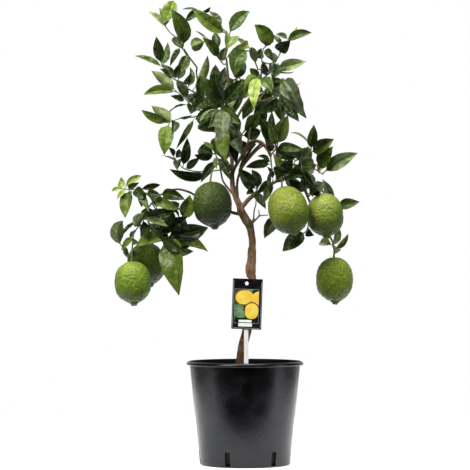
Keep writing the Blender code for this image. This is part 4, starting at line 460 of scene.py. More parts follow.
# Worn light edges of the card: middle x, z, half width, half height
WORN_EDGES = (((-22.6, 0.0), (0.42, 38.6)), ((22.6, -1.0), (0.34, 37.0)), ((0.0, -39.0), (21.6, 0.40)))
STAKE_SIZE = (7.0, 1.4, 287.0, 120.0)   # width, thickness, top, foot
STAKE_POINT = (14, 0.36)   # height of its point, share of the width at the tip
STAKE_X = 1.9
STAKE_GAP = 0.3


# ---------------------------------------------------------------- settings a user would change

def linear(code):
    """An sRGB hex colour as linear red, green and blue."""
    parts = [int(code[i:i + 2], 16) / 255 for i in (1, 3, 5)]
    return tuple(c / 12.92 if c <= 0.04045 else ((c + 0.055) / 1.055) ** 2.4 for c in parts)


def colour(name, description, code):
    """A colour that the user can set, from its sRGB hex code."""
    return FloatVectorProperty(name=name, description=description, subtype="COLOR", size=3, min=0.0, max=1.0,
                               default=linear(code))


def size(name, description, millimetres, low=0.0, high=1000.0):
    """A length that the user can set, given in millimetres."""
    return FloatProperty(name=name, description=description, unit="LENGTH", subtype="DISTANCE",
                         default=millimetres * MM, min=low * MM, max=high * MM)


class PotSettings(bpy.types.PropertyGroup):
    plastic: colour("Plastic", "Colour of the pot's polypropylene", "#0b0b0d")
    dust: colour("Dust", "Colour of the dust and scuffs on the wall", "#4b4c54")
    slot_width: size("Slot width", "Width of a drainage slot", SLOT_SIZE[0], 2, 14)
    grain: size("Streak spacing", "Distance between the faint flow lines in the wall", 3.0, 0.5, 20)


class SoilSettings(bpy.types.PropertyGroup):
    peat: colour("Peat", "Colour of moist peat", "#2c1d12")
    crumb_count: IntProperty(name="Crumbs", description="Loose crumbs on the soil", default=240, min=0,
                             max=600)
    crumb: size("Crumb size", "Mean size of a loose crumb", 3.2, 1, 8)


class WoodSettings(bpy.types.PropertyGroup):
    bark: colour("Bark", "Colour of the old bark's ridges", "#c09267")
    furrow: colour("Furrow", "Colour of the bark's furrows", "#643d22")
    young: colour("Young bark", "Colour of the bark on the thin limbs", "#6c6142")
    relief: size("Bark relief", "Height of the bark's ridges", 0.7, 0, 3)
    voxel: size("Detail", "Size of the smallest detail kept in the wood", 0.85, 0.5, 3)


class LeafSettings(bpy.types.PropertyGroup):
    # Leaf tones: partly each leaf's own colour, partly painted light and shade, darker for a leaf in shade,
    # lighter and greyer for a lit, shiny leaf.
    dark: colour("Dark", "Upper face of an old leaf", "#2c3f14")
    mid: colour("Mid", "Upper face of a full-grown leaf", "#4a5e20")
    bright: colour("Bright", "Upper face of a leaf in its first season", "#6c822e")
    lime: colour("Lime", "Upper face of a new leaf", "#9db052")
    grey: colour("Grey", "Upper face of a leaf with a waxy bloom", "#667250")
    pale: colour("Pale", "Leaf whose lower face shows", "#84935a")
    underside: colour("Underside", "Lower face of a leaf", "#8c9a62")
    twig: colour("Twig", "Skin of a green twig", "#5f7431")
    thickness: size("Thickness", "Thickness of a leaf's blade", 0.5, 0.3, 0.9)
    vein_spacing: FloatProperty(name="Veins", description="Side veins on each half of a blade", default=11.0,
                                min=4.0, max=24.0)


class LemonSettings(bpy.types.PropertyGroup):
    pebble: size("Pebble", "Width of the skin's coarse lumps", 5.0, 2, 12)
    relief: size("Pebble relief", "Height of the skin's coarse lumps", 1.3, 0, 3)
    pore: size("Pore", "Distance between the oil glands", 1.5, 0.5, 4)
    calyx: colour("Calyx", "Colour of the star-shaped calyx", "#55662a")


class TagSettings(bpy.types.PropertyGroup):
    border: colour("Border", "Colour of the card", "#17151a")
    fruit: colour("Picture fruit", "Colour of the lemons in the picture", "#ffea62")
    label: colour("Label", "Colour of the blank label strips", "#ffffff")
    stake: colour("Stake", "Colour of the stake", "#ffffff")


class StageSettings(bpy.types.PropertyGroup):
    floor: size("Floor", "Width of the floor", 1400, 1000, 50000)
    light: FloatProperty(name="Light", description="Strength of the soft boxes", default=1.0, min=0.0,
                         max=10.0)


SETTINGS = {"pot": PotSettings, "soil": SoilSettings, "wood": WoodSettings, "leaf": LeafSettings,
            "lemon": LemonSettings, "tag": TagSettings, "stage": StageSettings}


def settings(part):
    """The settings of one part of the tree."""
    return getattr(bpy.context.scene, "lemon_tree_" + part)


# ---------------------------------------------------------------- hands: selecting, turning, joining

def drop_selection():
    """Select nothing."""
    bpy.ops.object.select_all(action="DESELECT")


def take(*objects):
    """Select these objects only; the first is the active one."""
    drop_selection()
    for obj in objects:
        obj.select_set(True)
    bpy.context.view_layer.objects.active = objects[0]


def added(name):
    """Name the object that the last operator added."""
    obj = bpy.context.object
    obj.name = name
    obj.data.name = name
    return obj


def pick(obj, wanted):
    """In edit mode, select the vertices that pass a test, with what lies between them."""
    shape = bmesh.from_edit_mesh(obj.data)
    for parts in (shape.faces, shape.edges, shape.verts):
        for part in parts:
            part.select = False
    for vert in shape.verts:
        if wanted(vert):
            vert.select = True
    shape.select_flush(True)
    bmesh.update_edit_mesh(obj.data)


def edit(obj):
    """Go into edit mode on an object, to work on its vertices."""
    take(obj)
    bpy.ops.object.mode_set(mode="EDIT")
    bpy.ops.mesh.select_mode(type="VERT")


def leave():
    """Go back to object mode."""
    bpy.ops.object.mode_set(mode="OBJECT")


def settle(obj):
    """Put an object's place, turn and size into its mesh."""
    take(obj)
    bpy.ops.object.transform_apply(location=True, rotation=True, scale=True)


def apply_modifier(obj, kind, **values):
    """Add a modifier and apply it."""
    modifier = obj.modifiers.new(kind.title(), kind)
    for key, value in values.items():
        setattr(modifier, key, value)
    bpy.context.view_layer.objects.active = obj
    bpy.ops.object.modifier_apply(modifier=modifier.name)


def join(name, objects):
    """Join objects into the first one, and name it."""
    take(*objects)
    if len(objects) > 1:
        bpy.ops.object.join()
    return added(name)


def outward():
    """In edit mode, merge doubles and point every face outwards."""
    bpy.ops.mesh.select_all(action="SELECT")
    bpy.ops.mesh.remove_doubles(threshold=0.00001)
    bpy.ops.mesh.normals_make_consistent(inside=False)


def turn(name, profile, sides, close_start=True, close_end=True, at=(0, 0, 0)):
    """Turn a profile of (radius, height), in millimetres, ring by ring about +Z."""
    x, y, z = at
    radius, height = profile[0]
    drop_selection()
    bpy.ops.mesh.primitive_circle_add(vertices=sides, radius=radius * MM, fill_type="NOTHING",
                                      location=(x * MM, y * MM, (z + height) * MM))
    obj = added(name)
    settle(obj)
    edit(obj)
    bpy.ops.mesh.select_all(action="SELECT")
    if close_start:
        bpy.ops.mesh.extrude_edges_move()
        bpy.ops.mesh.merge(type="CENTER")
        pick(obj, lambda vert: vert.index < sides)
    for new_radius, new_height in profile[1:]:
        bpy.ops.mesh.extrude_edges_move(TRANSFORM_OT_translate={"value": (0, 0, (new_height - height) * MM)})
        share = new_radius / radius
        bpy.ops.transform.resize(value=(share, share, 1),
                                 center_override=(x * MM, y * MM, (z + new_height) * MM))
        radius, height = new_radius, new_height
    if close_end:
        bpy.ops.mesh.extrude_edges_move()
        bpy.ops.mesh.merge(type="CENTER")
    outward()
    leave()
    return obj


def block(name, extent, at=(0, 0, 0), angle=0.0):
    """A box of this size, its middle at a place, turned about +Z; all in metres."""
    drop_selection()
    bpy.ops.mesh.primitive_cube_add(size=1, location=at, rotation=(0, 0, angle))
    box = added(name)
    box.scale = extent
    settle(box)
    return box


def smooth_path(points, steps=4):
    """Points with a radius, joined by a Catmull-Rom curve."""
    out = []
    for i in range(len(points) - 1):
        around = [points[max(0, min(len(points) - 1, i + k))] for k in (-1, 0, 1, 2)]
        for step in range(steps):
            t = step / steps
            weights = (0.5 * (-t + 2 * t * t - t ** 3), 0.5 * (2 - 5 * t * t + 3 * t ** 3),
                       0.5 * (t + 4 * t * t - 3 * t ** 3), 0.5 * (-t * t + t ** 3))
            out.append(tuple(sum(w * p[k] for w, p in zip(weights, around)) for k in range(4)))
    out.append(tuple(points[-1]))
    return out


def rod(name, path, roundness=3):
    """A round rod along (x, y, z, radius) points in metres, as a mesh with closed ends."""
    drop_selection()
    line = bpy.data.curves.new(name, "CURVE")
    line.dimensions = "3D"
    line.bevel_depth = 1.0
    line.bevel_resolution = roundness
    line.use_fill_caps = True
    spline = line.splines.new("POLY")
    spline.points.add(len(path) - 1)
    for point, (x, y, z, radius) in zip(spline.points, path):
        point.co = (x, y, z, 1.0)
        point.radius = radius
    obj = bpy.data.objects.new(name, line)
    bpy.context.scene.collection.objects.link(obj)
    take(obj)
    bpy.ops.object.convert(target="MESH")
    edit(bpy.context.object)
    outward()
    leave()
    return bpy.context.object


def copy_of(obj, name):
    """A copy with its own mesh."""
    twin = obj.copy()
    twin.data = obj.data.copy()
    twin.name = name
    bpy.context.scene.collection.objects.link(twin)
    return twin


def remove(*objects):
    """Delete objects."""
    for obj in objects:
        bpy.data.objects.remove(obj, do_unlink=True)


def point_finder(points):
    """What finds the nearest of these points."""
    finder = KDTree(len(points))
    for i, point in enumerate(points):
        finder.insert(point, i)
    finder.balance()
    return finder


def place(x, y, z, radius=None):
    """A point of the crown in metres, with a radius if it has one."""
    share = 1.0 + y * CROWN_TAPER
    point = Vector((x * share, y, CROWN_LEVEL + (z - CROWN_LEVEL) * share)) * MM
    return point if radius is None else (*point, radius * MM)


def paint(obj, tones):
    """Store a colour for every vertex: one for all, or one each."""
    layer = obj.data.attributes.get("tone") or obj.data.attributes.new("tone", "FLOAT_COLOR", "POINT")
    count = len(obj.data.vertices)
    rows = [tones] * count if isinstance(tones[0], float) else tones
    layer.data.foreach_set("color", [c for row in rows for c in (*row, 1.0)])


def smooth(obj, degrees=40.0):
    """Shade an object smooth, apart from edges sharper than this angle."""
    take(obj)
    bpy.ops.object.shade_smooth_by_angle(angle=radians(degrees))


def finish_piece(obj, slot, *nodes):
    """The piece rides on the tree's one body and stands for its solids."""
    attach(obj, "root")
    if nodes:
        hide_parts(*nodes)
    return obj


# ---------------------------------------------------------------- materials

def new_material(name):
    """A new material, its node tree and its Principled shader."""
    made = bpy.data.materials.new(name)
    made.use_nodes = True
    return made, made.node_tree, made.node_tree.nodes["Principled BSDF"]


def feed(tree, node, inputs):
    """Give a node its inputs, each a value or another node's output."""
    for key, value in inputs.items():
        if isinstance(value, bpy.types.NodeSocket):
            tree.links.new(value, node.inputs[key])
        else:
            node.inputs[key].default_value = value


def add(tree, kind, inputs=None, **values):
    """Add a node, with its settings and then its inputs."""
    node = tree.nodes.new(kind)
    for key, value in values.items():
        setattr(node, key, value)
    feed(tree, node, inputs or {})
    return node


def solid(rgb):
    """A colour with full alpha."""
    return (*rgb, 1.0)


def pot_polypropylene(name, smooth_gloss, rough_gloss, shine=0.45):
    """Polypropylene, injection moulded: black, with faint upright flow lines and dusty scuffs.

    Its outside is glossy, its inside dulled by soil."""
    chosen = settings("pot")
    made, tree, shader = new_material(name)
    where = add(tree, "ShaderNodeTexCoord").outputs["Object"]
    drawn = add(tree, "ShaderNodeMapping", {"Vector": where, "Scale": (1, 1, 0.06)}).outputs[0]
    streaks = add(tree, "ShaderNodeTexNoise", {"Vector": drawn, "Scale": 1 / chosen.grain, "Detail": 4.0})
    clouds = add(tree, "ShaderNodeTexNoise", {"Vector": where, "Scale": 1 / 0.030, "Detail": 5.0,
                                              "Roughness": 0.62})
    scuffed = add(tree, "ShaderNodeMapping", {"Vector": where, "Rotation": (0, radians(35), 0),
                                              "Scale": (1, 1, 0.3)}).outputs[0]
    scratches = add(tree, "ShaderNodeTexNoise", {"Vector": scuffed, "Scale": 1 / 0.004, "Detail": 3.0})
    dusty = add(tree, "ShaderNodeMapRange", {0: clouds.outputs[0], 1: 0.48, 2: 0.78, 3: 0.0, 4: 0.16})
    fleck = add(tree, "ShaderNodeMapRange", {0: scratches.outputs[0], 1: 0.64, 2: 0.74, 3: 0.0, 4: 0.10})
    cover = add(tree, "ShaderNodeMath", {0: dusty.outputs[0], 1: fleck.outputs[0]}, operation="ADD")
    tint = add(tree, "ShaderNodeMix", {0: cover.outputs[0], 6: solid(chosen.plastic), 7: solid(chosen.dust)},
               data_type="RGBA")
    gloss = add(tree, "ShaderNodeMapRange", {0: clouds.outputs[0], 1: 0.3, 2: 0.7,
                                            3: smooth_gloss, 4: rough_gloss})
    low = add(tree, "ShaderNodeBump", {"Height": streaks.outputs[0], "Strength": 0.10, "Distance": 0.0006})
    both = add(tree, "ShaderNodeBump", {"Height": clouds.outputs[0], "Strength": 0.18, "Distance": 0.0012,
                                        "Normal": low.outputs[0]})
    feed(tree, shader, {"Base Color": tint.outputs[2], "Roughness": gloss.outputs[0],
                        "Normal": both.outputs[0], "IOR": 1.5, "Specular IOR Level": shine,
                        "Specular Tint": (0.92, 0.94, 1.0, 1.0)})
    return made


def peat_mix():
    """Peat and composted bark, loose: dark, crumbly and quite matte."""
    chosen = settings("soil")
    made, tree, shader = new_material("peat_mix")
    where = add(tree, "ShaderNodeTexCoord").outputs["Object"]
    grains = add(tree, "ShaderNodeTexNoise", {"Vector": where, "Scale": 1 / 0.003, "Detail": 6.0,
                                              "Roughness": 0.7})
    patches = add(tree, "ShaderNodeTexNoise", {"Vector": where, "Scale": 1 / 0.018, "Detail": 3.0})
    share = add(tree, "ShaderNodeMapRange", {0: grains.outputs[0], 1: 0.32, 2: 0.70})
    tint = add(tree, "ShaderNodeMix", {0: share.outputs[0], 6: solid(linear("#150d08")),
                                       7: solid(chosen.peat)}, data_type="RGBA")
    damp = add(tree, "ShaderNodeMapRange", {0: patches.outputs[0], 1: 0.35, 2: 0.65, 3: 0.65, 4: 1.25})
    shade = add(tree, "ShaderNodeMix", {0: 1.0, 6: tint.outputs[2], 7: damp.outputs[0]}, data_type="RGBA",
                blend_type="MULTIPLY")
    bump = add(tree, "ShaderNodeBump", {"Height": grains.outputs[0], "Strength": 0.9, "Distance": 0.002})
    feed(tree, shader, {"Base Color": shade.outputs[2], "Normal": bump.outputs[0], "Roughness": 0.95})
    return made


def fibrous_material(name, body, fleck):
    """Fibrous matter, matte: warm brown in bark chips, white in perlite, green in a calyx, always streaky."""
    made, tree, shader = new_material(name)
    where = add(tree, "ShaderNodeTexCoord").outputs["Object"]
    fibres = add(tree, "ShaderNodeTexNoise", {"Vector": where, "Scale": 1 / 0.0012, "Detail": 4.0})
    tint = add(tree, "ShaderNodeMix", {0: fibres.outputs[0], 6: solid(body),
                                       7: solid(fleck)}, data_type="RGBA")
    bump = add(tree, "ShaderNodeBump", {"Height": fibres.outputs[0], "Strength": 0.6, "Distance": 0.0008})
    feed(tree, shader, {"Base Color": tint.outputs[2], "Normal": bump.outputs[0], "Roughness": 0.9})
    return made


def lemon_bark():
    """Citrus bark, grown: grey-brown ridges over reddish furrows, greener where young, redder at the foot."""
    chosen = settings("wood")
    made, tree, shader = new_material("citrus_bark")
    where = add(tree, "ShaderNodeTexCoord").outputs["Object"]
    drawn = add(tree, "ShaderNodeMapping", {"Vector": where, "Scale": (1, 1, 0.24)}).outputs[0]
    ridges = add(tree, "ShaderNodeTexNoise", {"Vector": drawn, "Scale": 1 / 0.0026, "Detail": 6.0,
                                              "Roughness": 0.62, "Distortion": 0.4})
    rings = add(tree, "ShaderNodeMapping", {"Vector": where, "Scale": (0.25, 0.25, 1)}).outputs[0]
    scars = add(tree, "ShaderNodeTexNoise", {"Vector": rings, "Scale": 1 / 0.005, "Detail": 3.0})
    patches = add(tree, "ShaderNodeTexNoise", {"Vector": where, "Scale": 1 / 0.016, "Detail": 3.0})
    ridge = add(tree, "ShaderNodeMapRange", {0: ridges.outputs[0], 1: 0.36, 2: 0.60})
    bark = add(tree, "ShaderNodeMix", {0: ridge.outputs[0], 6: solid(chosen.furrow), 7: solid(chosen.bark)},
               data_type="RGBA")
    scar = add(tree, "ShaderNodeMapRange", {0: scars.outputs[0], 1: 0.56, 2: 0.66, 3: 0.0, 4: 0.42})
    marked = add(tree, "ShaderNodeMix", {0: scar.outputs[0], 6: bark.outputs[2],
                                         7: solid(linear("#2e1a0e"))}, data_type="RGBA")
    weather = add(tree, "ShaderNodeMapRange", {0: patches.outputs[0], 1: 0.45, 2: 0.65, 3: 0.0, 4: 0.40})
    grey = add(tree, "ShaderNodeMix", {0: weather.outputs[0], 6: marked.outputs[2],
                                       7: solid(linear("#a8927a"))}, data_type="RGBA")
    age = add(tree, "ShaderNodeAttribute", attribute_name="youth").outputs["Fac"]
    # Darker and redder towards the foot: a dark red-brown that fades out higher up the trunk.
    height = add(tree, "ShaderNodeSeparateXYZ", {0: where}).outputs["Z"]
    damp = add(tree, "ShaderNodeMapRange", {0: height, 1: FOOT_DARKENING[0] * MM, 2: FOOT_DARKENING[1] * MM,
                                           3: 0.85, 4: 0.0})
    foot = add(tree, "ShaderNodeMix", {0: damp.outputs[0], 6: grey.outputs[2], 7: solid(linear("#431d0a"))},
               data_type="RGBA")
    tint = add(tree, "ShaderNodeMix", {0: age, 6: foot.outputs[2], 7: solid(chosen.young)}, data_type="RGBA")
    low = add(tree, "ShaderNodeBump", {"Height": ridges.outputs[0], "Strength": 0.8, "Distance": 0.0012})
    both = add(tree, "ShaderNodeBump", {"Height": scars.outputs[0], "Strength": 0.4, "Distance": 0.0008,
                                        "Normal": low.outputs[0]})
    feed(tree, shader, {"Base Color": tint.outputs[2], "Normal": both.outputs[0], "Roughness": 0.8})
    return made


def leaf_pattern(tree):
    """Midrib, side veins and petiole from a leaf's own map: along it, and across it."""
    chosen = settings("leaf")
    across = add(tree, "ShaderNodeSeparateXYZ", {0: add(tree, "ShaderNodeUVMap").outputs[0]})
    along, side = across.outputs["X"], across.outputs["Y"]
    offset = add(tree, "ShaderNodeMath", {0: side, 1: 0.5}, operation="SUBTRACT")
    away = add(tree, "ShaderNodeMath", {0: offset.outputs[0]}, operation="ABSOLUTE").outputs[0]
    rib = add(tree, "ShaderNodeMapRange", {0: away, 1: 0.015, 2: 0.055, 3: 1.0, 4: 0.0}).outputs[0]
    rise = add(tree, "ShaderNodeMath", {0: away, 1: -5.0}, operation="MULTIPLY").outputs[0]
    count = add(tree, "ShaderNodeMath", {0: along, 1: chosen.vein_spacing, 2: rise},
                operation="MULTIPLY_ADD").outputs[0]
    turn_of = add(tree, "ShaderNodeMath", {0: count, 1: 1.0}, operation="PINGPONG").outputs[0]
    vein = add(tree, "ShaderNodeMapRange", {0: turn_of, 1: 0.0, 2: 0.16, 3: 1.0, 4: 0.0}).outputs[0]
    stalk = add(tree, "ShaderNodeMapRange", {0: along, 1: 0.14, 2: 0.24, 3: 1.0, 4: 0.0}).outputs[0]
    return rib, vein, stalk


def leaf_upper():
    """Citrus leaf, upper face, waxy: deep green with a satin shine, paler midrib and sunken side veins."""
    made, tree, shader = new_material("leaf_upper_face")
    rib, vein, stalk = leaf_pattern(tree)
    tone = add(tree, "ShaderNodeAttribute", attribute_name="tone").outputs["Color"]
    where = add(tree, "ShaderNodeTexCoord").outputs["Object"]
    mottle = add(tree, "ShaderNodeTexNoise", {"Vector": where, "Scale": 1 / 0.009, "Detail": 4.0})
    share = add(tree, "ShaderNodeMapRange", {0: mottle.outputs[0], 1: 0.3, 2: 0.7, 3: 0.78, 4: 1.22})
    body = add(tree, "ShaderNodeMix", {0: 1.0, 6: tone, 7: share.outputs[0]}, data_type="RGBA",
               blend_type="MULTIPLY")
    line = add(tree, "ShaderNodeMath", {0: vein, 1: 0.10}, operation="MULTIPLY")
    veined = add(tree, "ShaderNodeMix", {0: line.outputs[0], 6: body.outputs[2],
                                         7: solid(linear("#93a45c"))}, data_type="RGBA")
    spine = add(tree, "ShaderNodeMath", {0: rib, 1: 0.24}, operation="MULTIPLY")
    ribbed = add(tree, "ShaderNodeMix", {0: spine.outputs[0], 6: veined.outputs[2],
                                         7: solid(linear("#a4b368"))}, data_type="RGBA")
    tint = add(tree, "ShaderNodeMix", {0: stalk, 6: ribbed.outputs[2], 7: solid(settings("leaf").twig)},
               data_type="RGBA")
    gloss = add(tree, "ShaderNodeMapRange", {0: mottle.outputs[0], 1: 0.3, 2: 0.7, 3: 0.22, 4: 0.36})
    sunk = add(tree, "ShaderNodeMath", {0: vein, 1: rib}, operation="ADD")
    low = add(tree, "ShaderNodeBump", {"Height": sunk.outputs[0], "Strength": 0.45, "Distance": 0.0005},
              invert=True)
    both = add(tree, "ShaderNodeBump", {"Height": mottle.outputs[0], "Strength": 0.35, "Distance": 0.0012,
                                        "Normal": low.outputs[0]})
    ripple = add(tree, "ShaderNodeTexNoise", {"Vector": where, "Scale": 1 / 0.016, "Detail": 1.0})
    waved = add(tree, "ShaderNodeBump", {"Height": ripple.outputs[0], "Strength": 0.8, "Distance": 0.009,
                                         "Normal": both.outputs[0]})
    feed(tree, shader, {"Base Color": tint.outputs[2], "Roughness": gloss.outputs[0],
                        "Normal": waved.outputs[0], "IOR": 1.45, "Specular IOR Level": 0.28})
    return made


def leaf_lower():
    """Citrus leaf, lower face, bare: pale, dull green with a raised midrib and side veins."""
    chosen = settings("leaf")
    made, tree, shader = new_material("leaf_lower_face")
    rib, vein = leaf_pattern(tree)[:2]
    tone = add(tree, "ShaderNodeAttribute", attribute_name="tone").outputs["Color"]
    where = add(tree, "ShaderNodeTexCoord").outputs["Object"]
    mottle = add(tree, "ShaderNodeTexNoise", {"Vector": where, "Scale": 1 / 0.007, "Detail": 4.0})
    share = add(tree, "ShaderNodeMapRange", {0: mottle.outputs[0], 1: 0.3, 2: 0.7, 3: 0.28, 4: 0.48})
    body = add(tree, "ShaderNodeMix", {0: share.outputs[0], 6: tone, 7: solid(chosen.underside)},
               data_type="RGBA")
    raised = add(tree, "ShaderNodeMath", {0: rib, 1: vein}, operation="ADD")
    line = add(tree, "ShaderNodeMath", {0: raised.outputs[0], 1: 0.3}, operation="MULTIPLY", use_clamp=True)
    tint = add(tree, "ShaderNodeMix", {0: line.outputs[0], 6: body.outputs[2], 7: solid(linear("#b4bf86"))},
               data_type="RGBA")
    bump = add(tree, "ShaderNodeBump", {"Height": raised.outputs[0], "Strength": 0.6, "Distance": 0.0006})
    feed(tree, shader, {"Base Color": tint.outputs[2], "Normal": bump.outputs[0], "Roughness": 0.58,
                        "Specular IOR Level": 0.12})
    return made


def twig_skin():
    """Green shoot, smooth: young skin with paler dots."""
    made, tree, shader = new_material("green_twig_skin")
    where = add(tree, "ShaderNodeTexCoord").outputs["Object"]
    spots = add(tree, "ShaderNodeTexNoise", {"Vector": where, "Scale": 1 / 0.004, "Detail": 4.0})
    share = add(tree, "ShaderNodeMapRange", {0: spots.outputs[0], 1: 0.40, 2: 0.66})
    tint = add(tree, "ShaderNodeMix", {0: share.outputs[0], 6: solid(settings("leaf").twig),
                                       7: solid(linear("#7d7a4c"))}, data_type="RGBA")
    bump = add(tree, "ShaderNodeBump", {"Height": spots.outputs[0], "Strength": 0.3, "Distance": 0.0008})
    feed(tree, shader, {"Base Color": tint.outputs[2], "Normal": bump.outputs[0], "Roughness": 0.5})
    return made


def lemon_rind():
    """Lemon rind, unripe: waxy green skin, pebbled, with a pore over each oil gland."""
    chosen = settings("lemon")
    made, tree, shader = new_material("lemon_rind")
    tone = add(tree, "ShaderNodeAttribute", attribute_name="tone").outputs["Color"]
    where = add(tree, "ShaderNodeTexCoord").outputs["Object"]
    pores = add(tree, "ShaderNodeTexVoronoi", {"Vector": where, "Scale": 1 / chosen.pore})
    lumps = add(tree, "ShaderNodeTexNoise", {"Vector": where, "Scale": 1 / chosen.pebble, "Detail": 3.0})
    patches = add(tree, "ShaderNodeTexNoise", {"Vector": where, "Scale": 1 / 0.014, "Detail": 3.0})
    share = add(tree, "ShaderNodeMapRange", {0: patches.outputs[0], 1: 0.3, 2: 0.7, 3: 0.84, 4: 1.16})
    body = add(tree, "ShaderNodeMix", {0: 1.0, 6: tone, 7: share.outputs[0]}, data_type="RGBA",
               blend_type="MULTIPLY")
    pit = add(tree, "ShaderNodeMapRange", {0: pores.outputs["Distance"], 1: 0.0, 2: 0.5, 3: 0.30, 4: 0.0})
    tint = add(tree, "ShaderNodeMix", {0: pit.outputs[0], 6: body.outputs[2], 7: solid(linear("#2c3d10"))},
               data_type="RGBA")
    low = add(tree, "ShaderNodeBump", {"Height": pores.outputs["Distance"], "Strength": 0.5,
                                       "Distance": 0.0007})
    both = add(tree, "ShaderNodeBump", {"Height": lumps.outputs[0], "Strength": 0.9, "Distance": 0.0034,
                                        "Normal": low.outputs[0]})
    feed(tree, shader, {"Base Color": tint.outputs[2], "Normal": both.outputs[0], "Roughness": 0.33,
                        "Specular IOR Level": 0.28})
    return made


def printed_card(name, code, deep, roughness=0.3, painted_glow=0.0):
    """Printed card under clear film: ink whose shade drifts a little, with the film's shine.

    Where a glow is given, the ink or stock emits light: a painted glow that makes it look brighter."""
    made, tree, shader = new_material(name)
    where = add(tree, "ShaderNodeTexCoord").outputs["Object"]
    drift = add(tree, "ShaderNodeTexNoise", {"Vector": where, "Scale": 1 / 0.012, "Detail": 2.0})
    share = add(tree, "ShaderNodeMapRange", {0: drift.outputs[0], 1: 0.35, 2: 0.65})
    tint = add(tree, "ShaderNodeMix", {0: share.outputs[0], 6: solid(deep), 7: solid(code)},
               data_type="RGBA")
    bump = add(tree, "ShaderNodeBump", {"Height": drift.outputs[0], "Strength": 0.2, "Distance": 0.0006})
    feed(tree, shader, {"Base Color": tint.outputs[2], "Normal": bump.outputs[0],
                        "Roughness": roughness, "Emission Color": solid(code),
                        "Emission Strength": painted_glow})
    return made


def white_sweep():
    """Studio sweep, painted matt white."""
    made, tree, shader = new_material("white_studio_sweep")
    where = add(tree, "ShaderNodeTexCoord").outputs["Object"]
    rolled = add(tree, "ShaderNodeTexNoise", {"Vector": where, "Scale": 1 / 0.4, "Detail": 2.0})
    tint = add(tree, "ShaderNodeMix", {0: rolled.outputs[0], 6: solid(linear("#f4f4f4")),
                                       7: solid(linear("#fafafa"))}, data_type="RGBA")
    feed(tree, shader, {"Base Color": tint.outputs[2], "Roughness": 0.9,
                        "Emission Color": (1, 1, 1, 1), "Emission Strength": FLOOR_GLOW})
    return made


# ---------------------------------------------------------------- pieces

class LEMON_TREE_OT_pot(bpy.types.Operator):
    """Turn the nursery pot with its rolled rim, and cut the drainage slots"""
    bl_idname = "lemon_tree.pot"
    bl_label = "Pot"

    def execute(self, context):
        pot = turn("nursery_pot", POT_PROFILE, POT_SIDES)
        depth, height = SLOT_SIZE[1], SLOT_SIZE[2]
        for i in range(SLOT_COUNT):
            angle = radians(SLOT_FIRST + i * 360.0 / SLOT_COUNT)
            middle = (SLOT_PLACE * sin(angle) * MM, -SLOT_PLACE * cos(angle) * MM,
                      (SLOT_FOOT + height / 2) * MM)
            cutter = block("slot_cutter", (settings("pot").slot_width, depth * MM, height * MM), middle,
                           angle)
            apply_modifier(cutter, "BEVEL", width=1.2 * MM, segments=3)
            apply_modifier(pot, "BOOLEAN", object=cutter, operation="DIFFERENCE", solver="EXACT")
            remove(cutter)
        pot.data.materials.append(pot_polypropylene("black_polypropylene", 0.18, 0.30))
        pot.data.materials.append(pot_polypropylene("soiled_polypropylene", 0.6, 0.8, 0.08))
        for face in pot.data.polygons:
            out = Vector((face.center.x, face.center.y, 0)).normalized()
            if face.normal.dot(out) < -0.5 and face.center.z > SOILED_FROM * MM:
                face.material_index = 1
        smooth(pot, 35)
        finish_piece(pot, "pot_plastic", "pot")
        return {"FINISHED"}


class LEMON_TREE_OT_soil(bpy.types.Operator):
    """Fill the pot with peat mix, with crumbs and bark chips lying on it"""
    bl_idname = "lemon_tree.soil"
    bl_label = "Potting soil"

    def execute(self, context):
        chosen = settings("soil")
        soil = turn("peat", SOIL_PROFILE, SOIL_SIDES)
        lumps = bpy.data.textures.new("peat_lumps", "CLOUDS")
        lumps.noise_scale = 7 * MM
        top = soil.vertex_groups.new(name="top")
        top.add([v.index for v in soil.data.vertices if v.co.z > SOIL_TOP * MM], 1.0, "REPLACE")
        apply_modifier(soil, "SUBSURF", levels=1, render_levels=1, subdivision_type="SIMPLE")
        apply_modifier(soil, "DISPLACE", texture=lumps, strength=4.5 * MM, vertex_group="top")
        soil.vertex_groups.clear()
        soil.data.materials.append(peat_mix())
        smooth(soil, 60)
        ground = BVHTree.FromPolygons([v.co for v in soil.data.vertices],
                                      [tuple(p.vertices) for p in soil.data.polygons])
        drop_selection()
        bpy.ops.mesh.primitive_ico_sphere_add(subdivisions=1, radius=0.5)
        crumb = added("crumb")
        rough = bpy.data.textures.new("crumb_edges", "CLOUDS")
        rough.noise_scale = 0.4
        apply_modifier(crumb, "DISPLACE", texture=rough, strength=0.35)
        looks = (soil.data.materials[0], fibrous_material("bark_chip", linear("#5a3a22"), linear("#2e1c10")),
                 fibrous_material("perlite", linear("#bdb8ae"), linear("#8f897e")))
        dice = Random(11)
        parts = [soil]
        for _ in range(chosen.crumb_count):
            away, angle = CRUMB_SPREAD * MM * dice.random() ** 0.5, dice.uniform(0, 2 * pi)
            spot = Vector((away * cos(angle), away * sin(angle), 0.2))
            landed = ground.ray_cast(spot, Vector((0, 0, -1)))[0]
            kind = dice.choices((0, 1, 2), CRUMB_SHARES)[0]
            part = copy_of(crumb, "crumb")
            part.data.materials.append(looks[kind])
            part.location = landed + Vector((0, 0, 0.3 * MM))
            part.rotation_euler = (dice.uniform(-0.4, 0.4), dice.uniform(-0.4, 0.4), dice.uniform(0, 2 * pi))
            part.scale = Vector(CRUMB_SHAPES[kind]) * chosen.crumb * dice.uniform(0.55, 1.5)
            parts.append(part)
        remove(crumb)
        soil = join("potting_soil", parts)
        finish_piece(soil, "potting_soil", "soil")
        return {"FINISHED"}


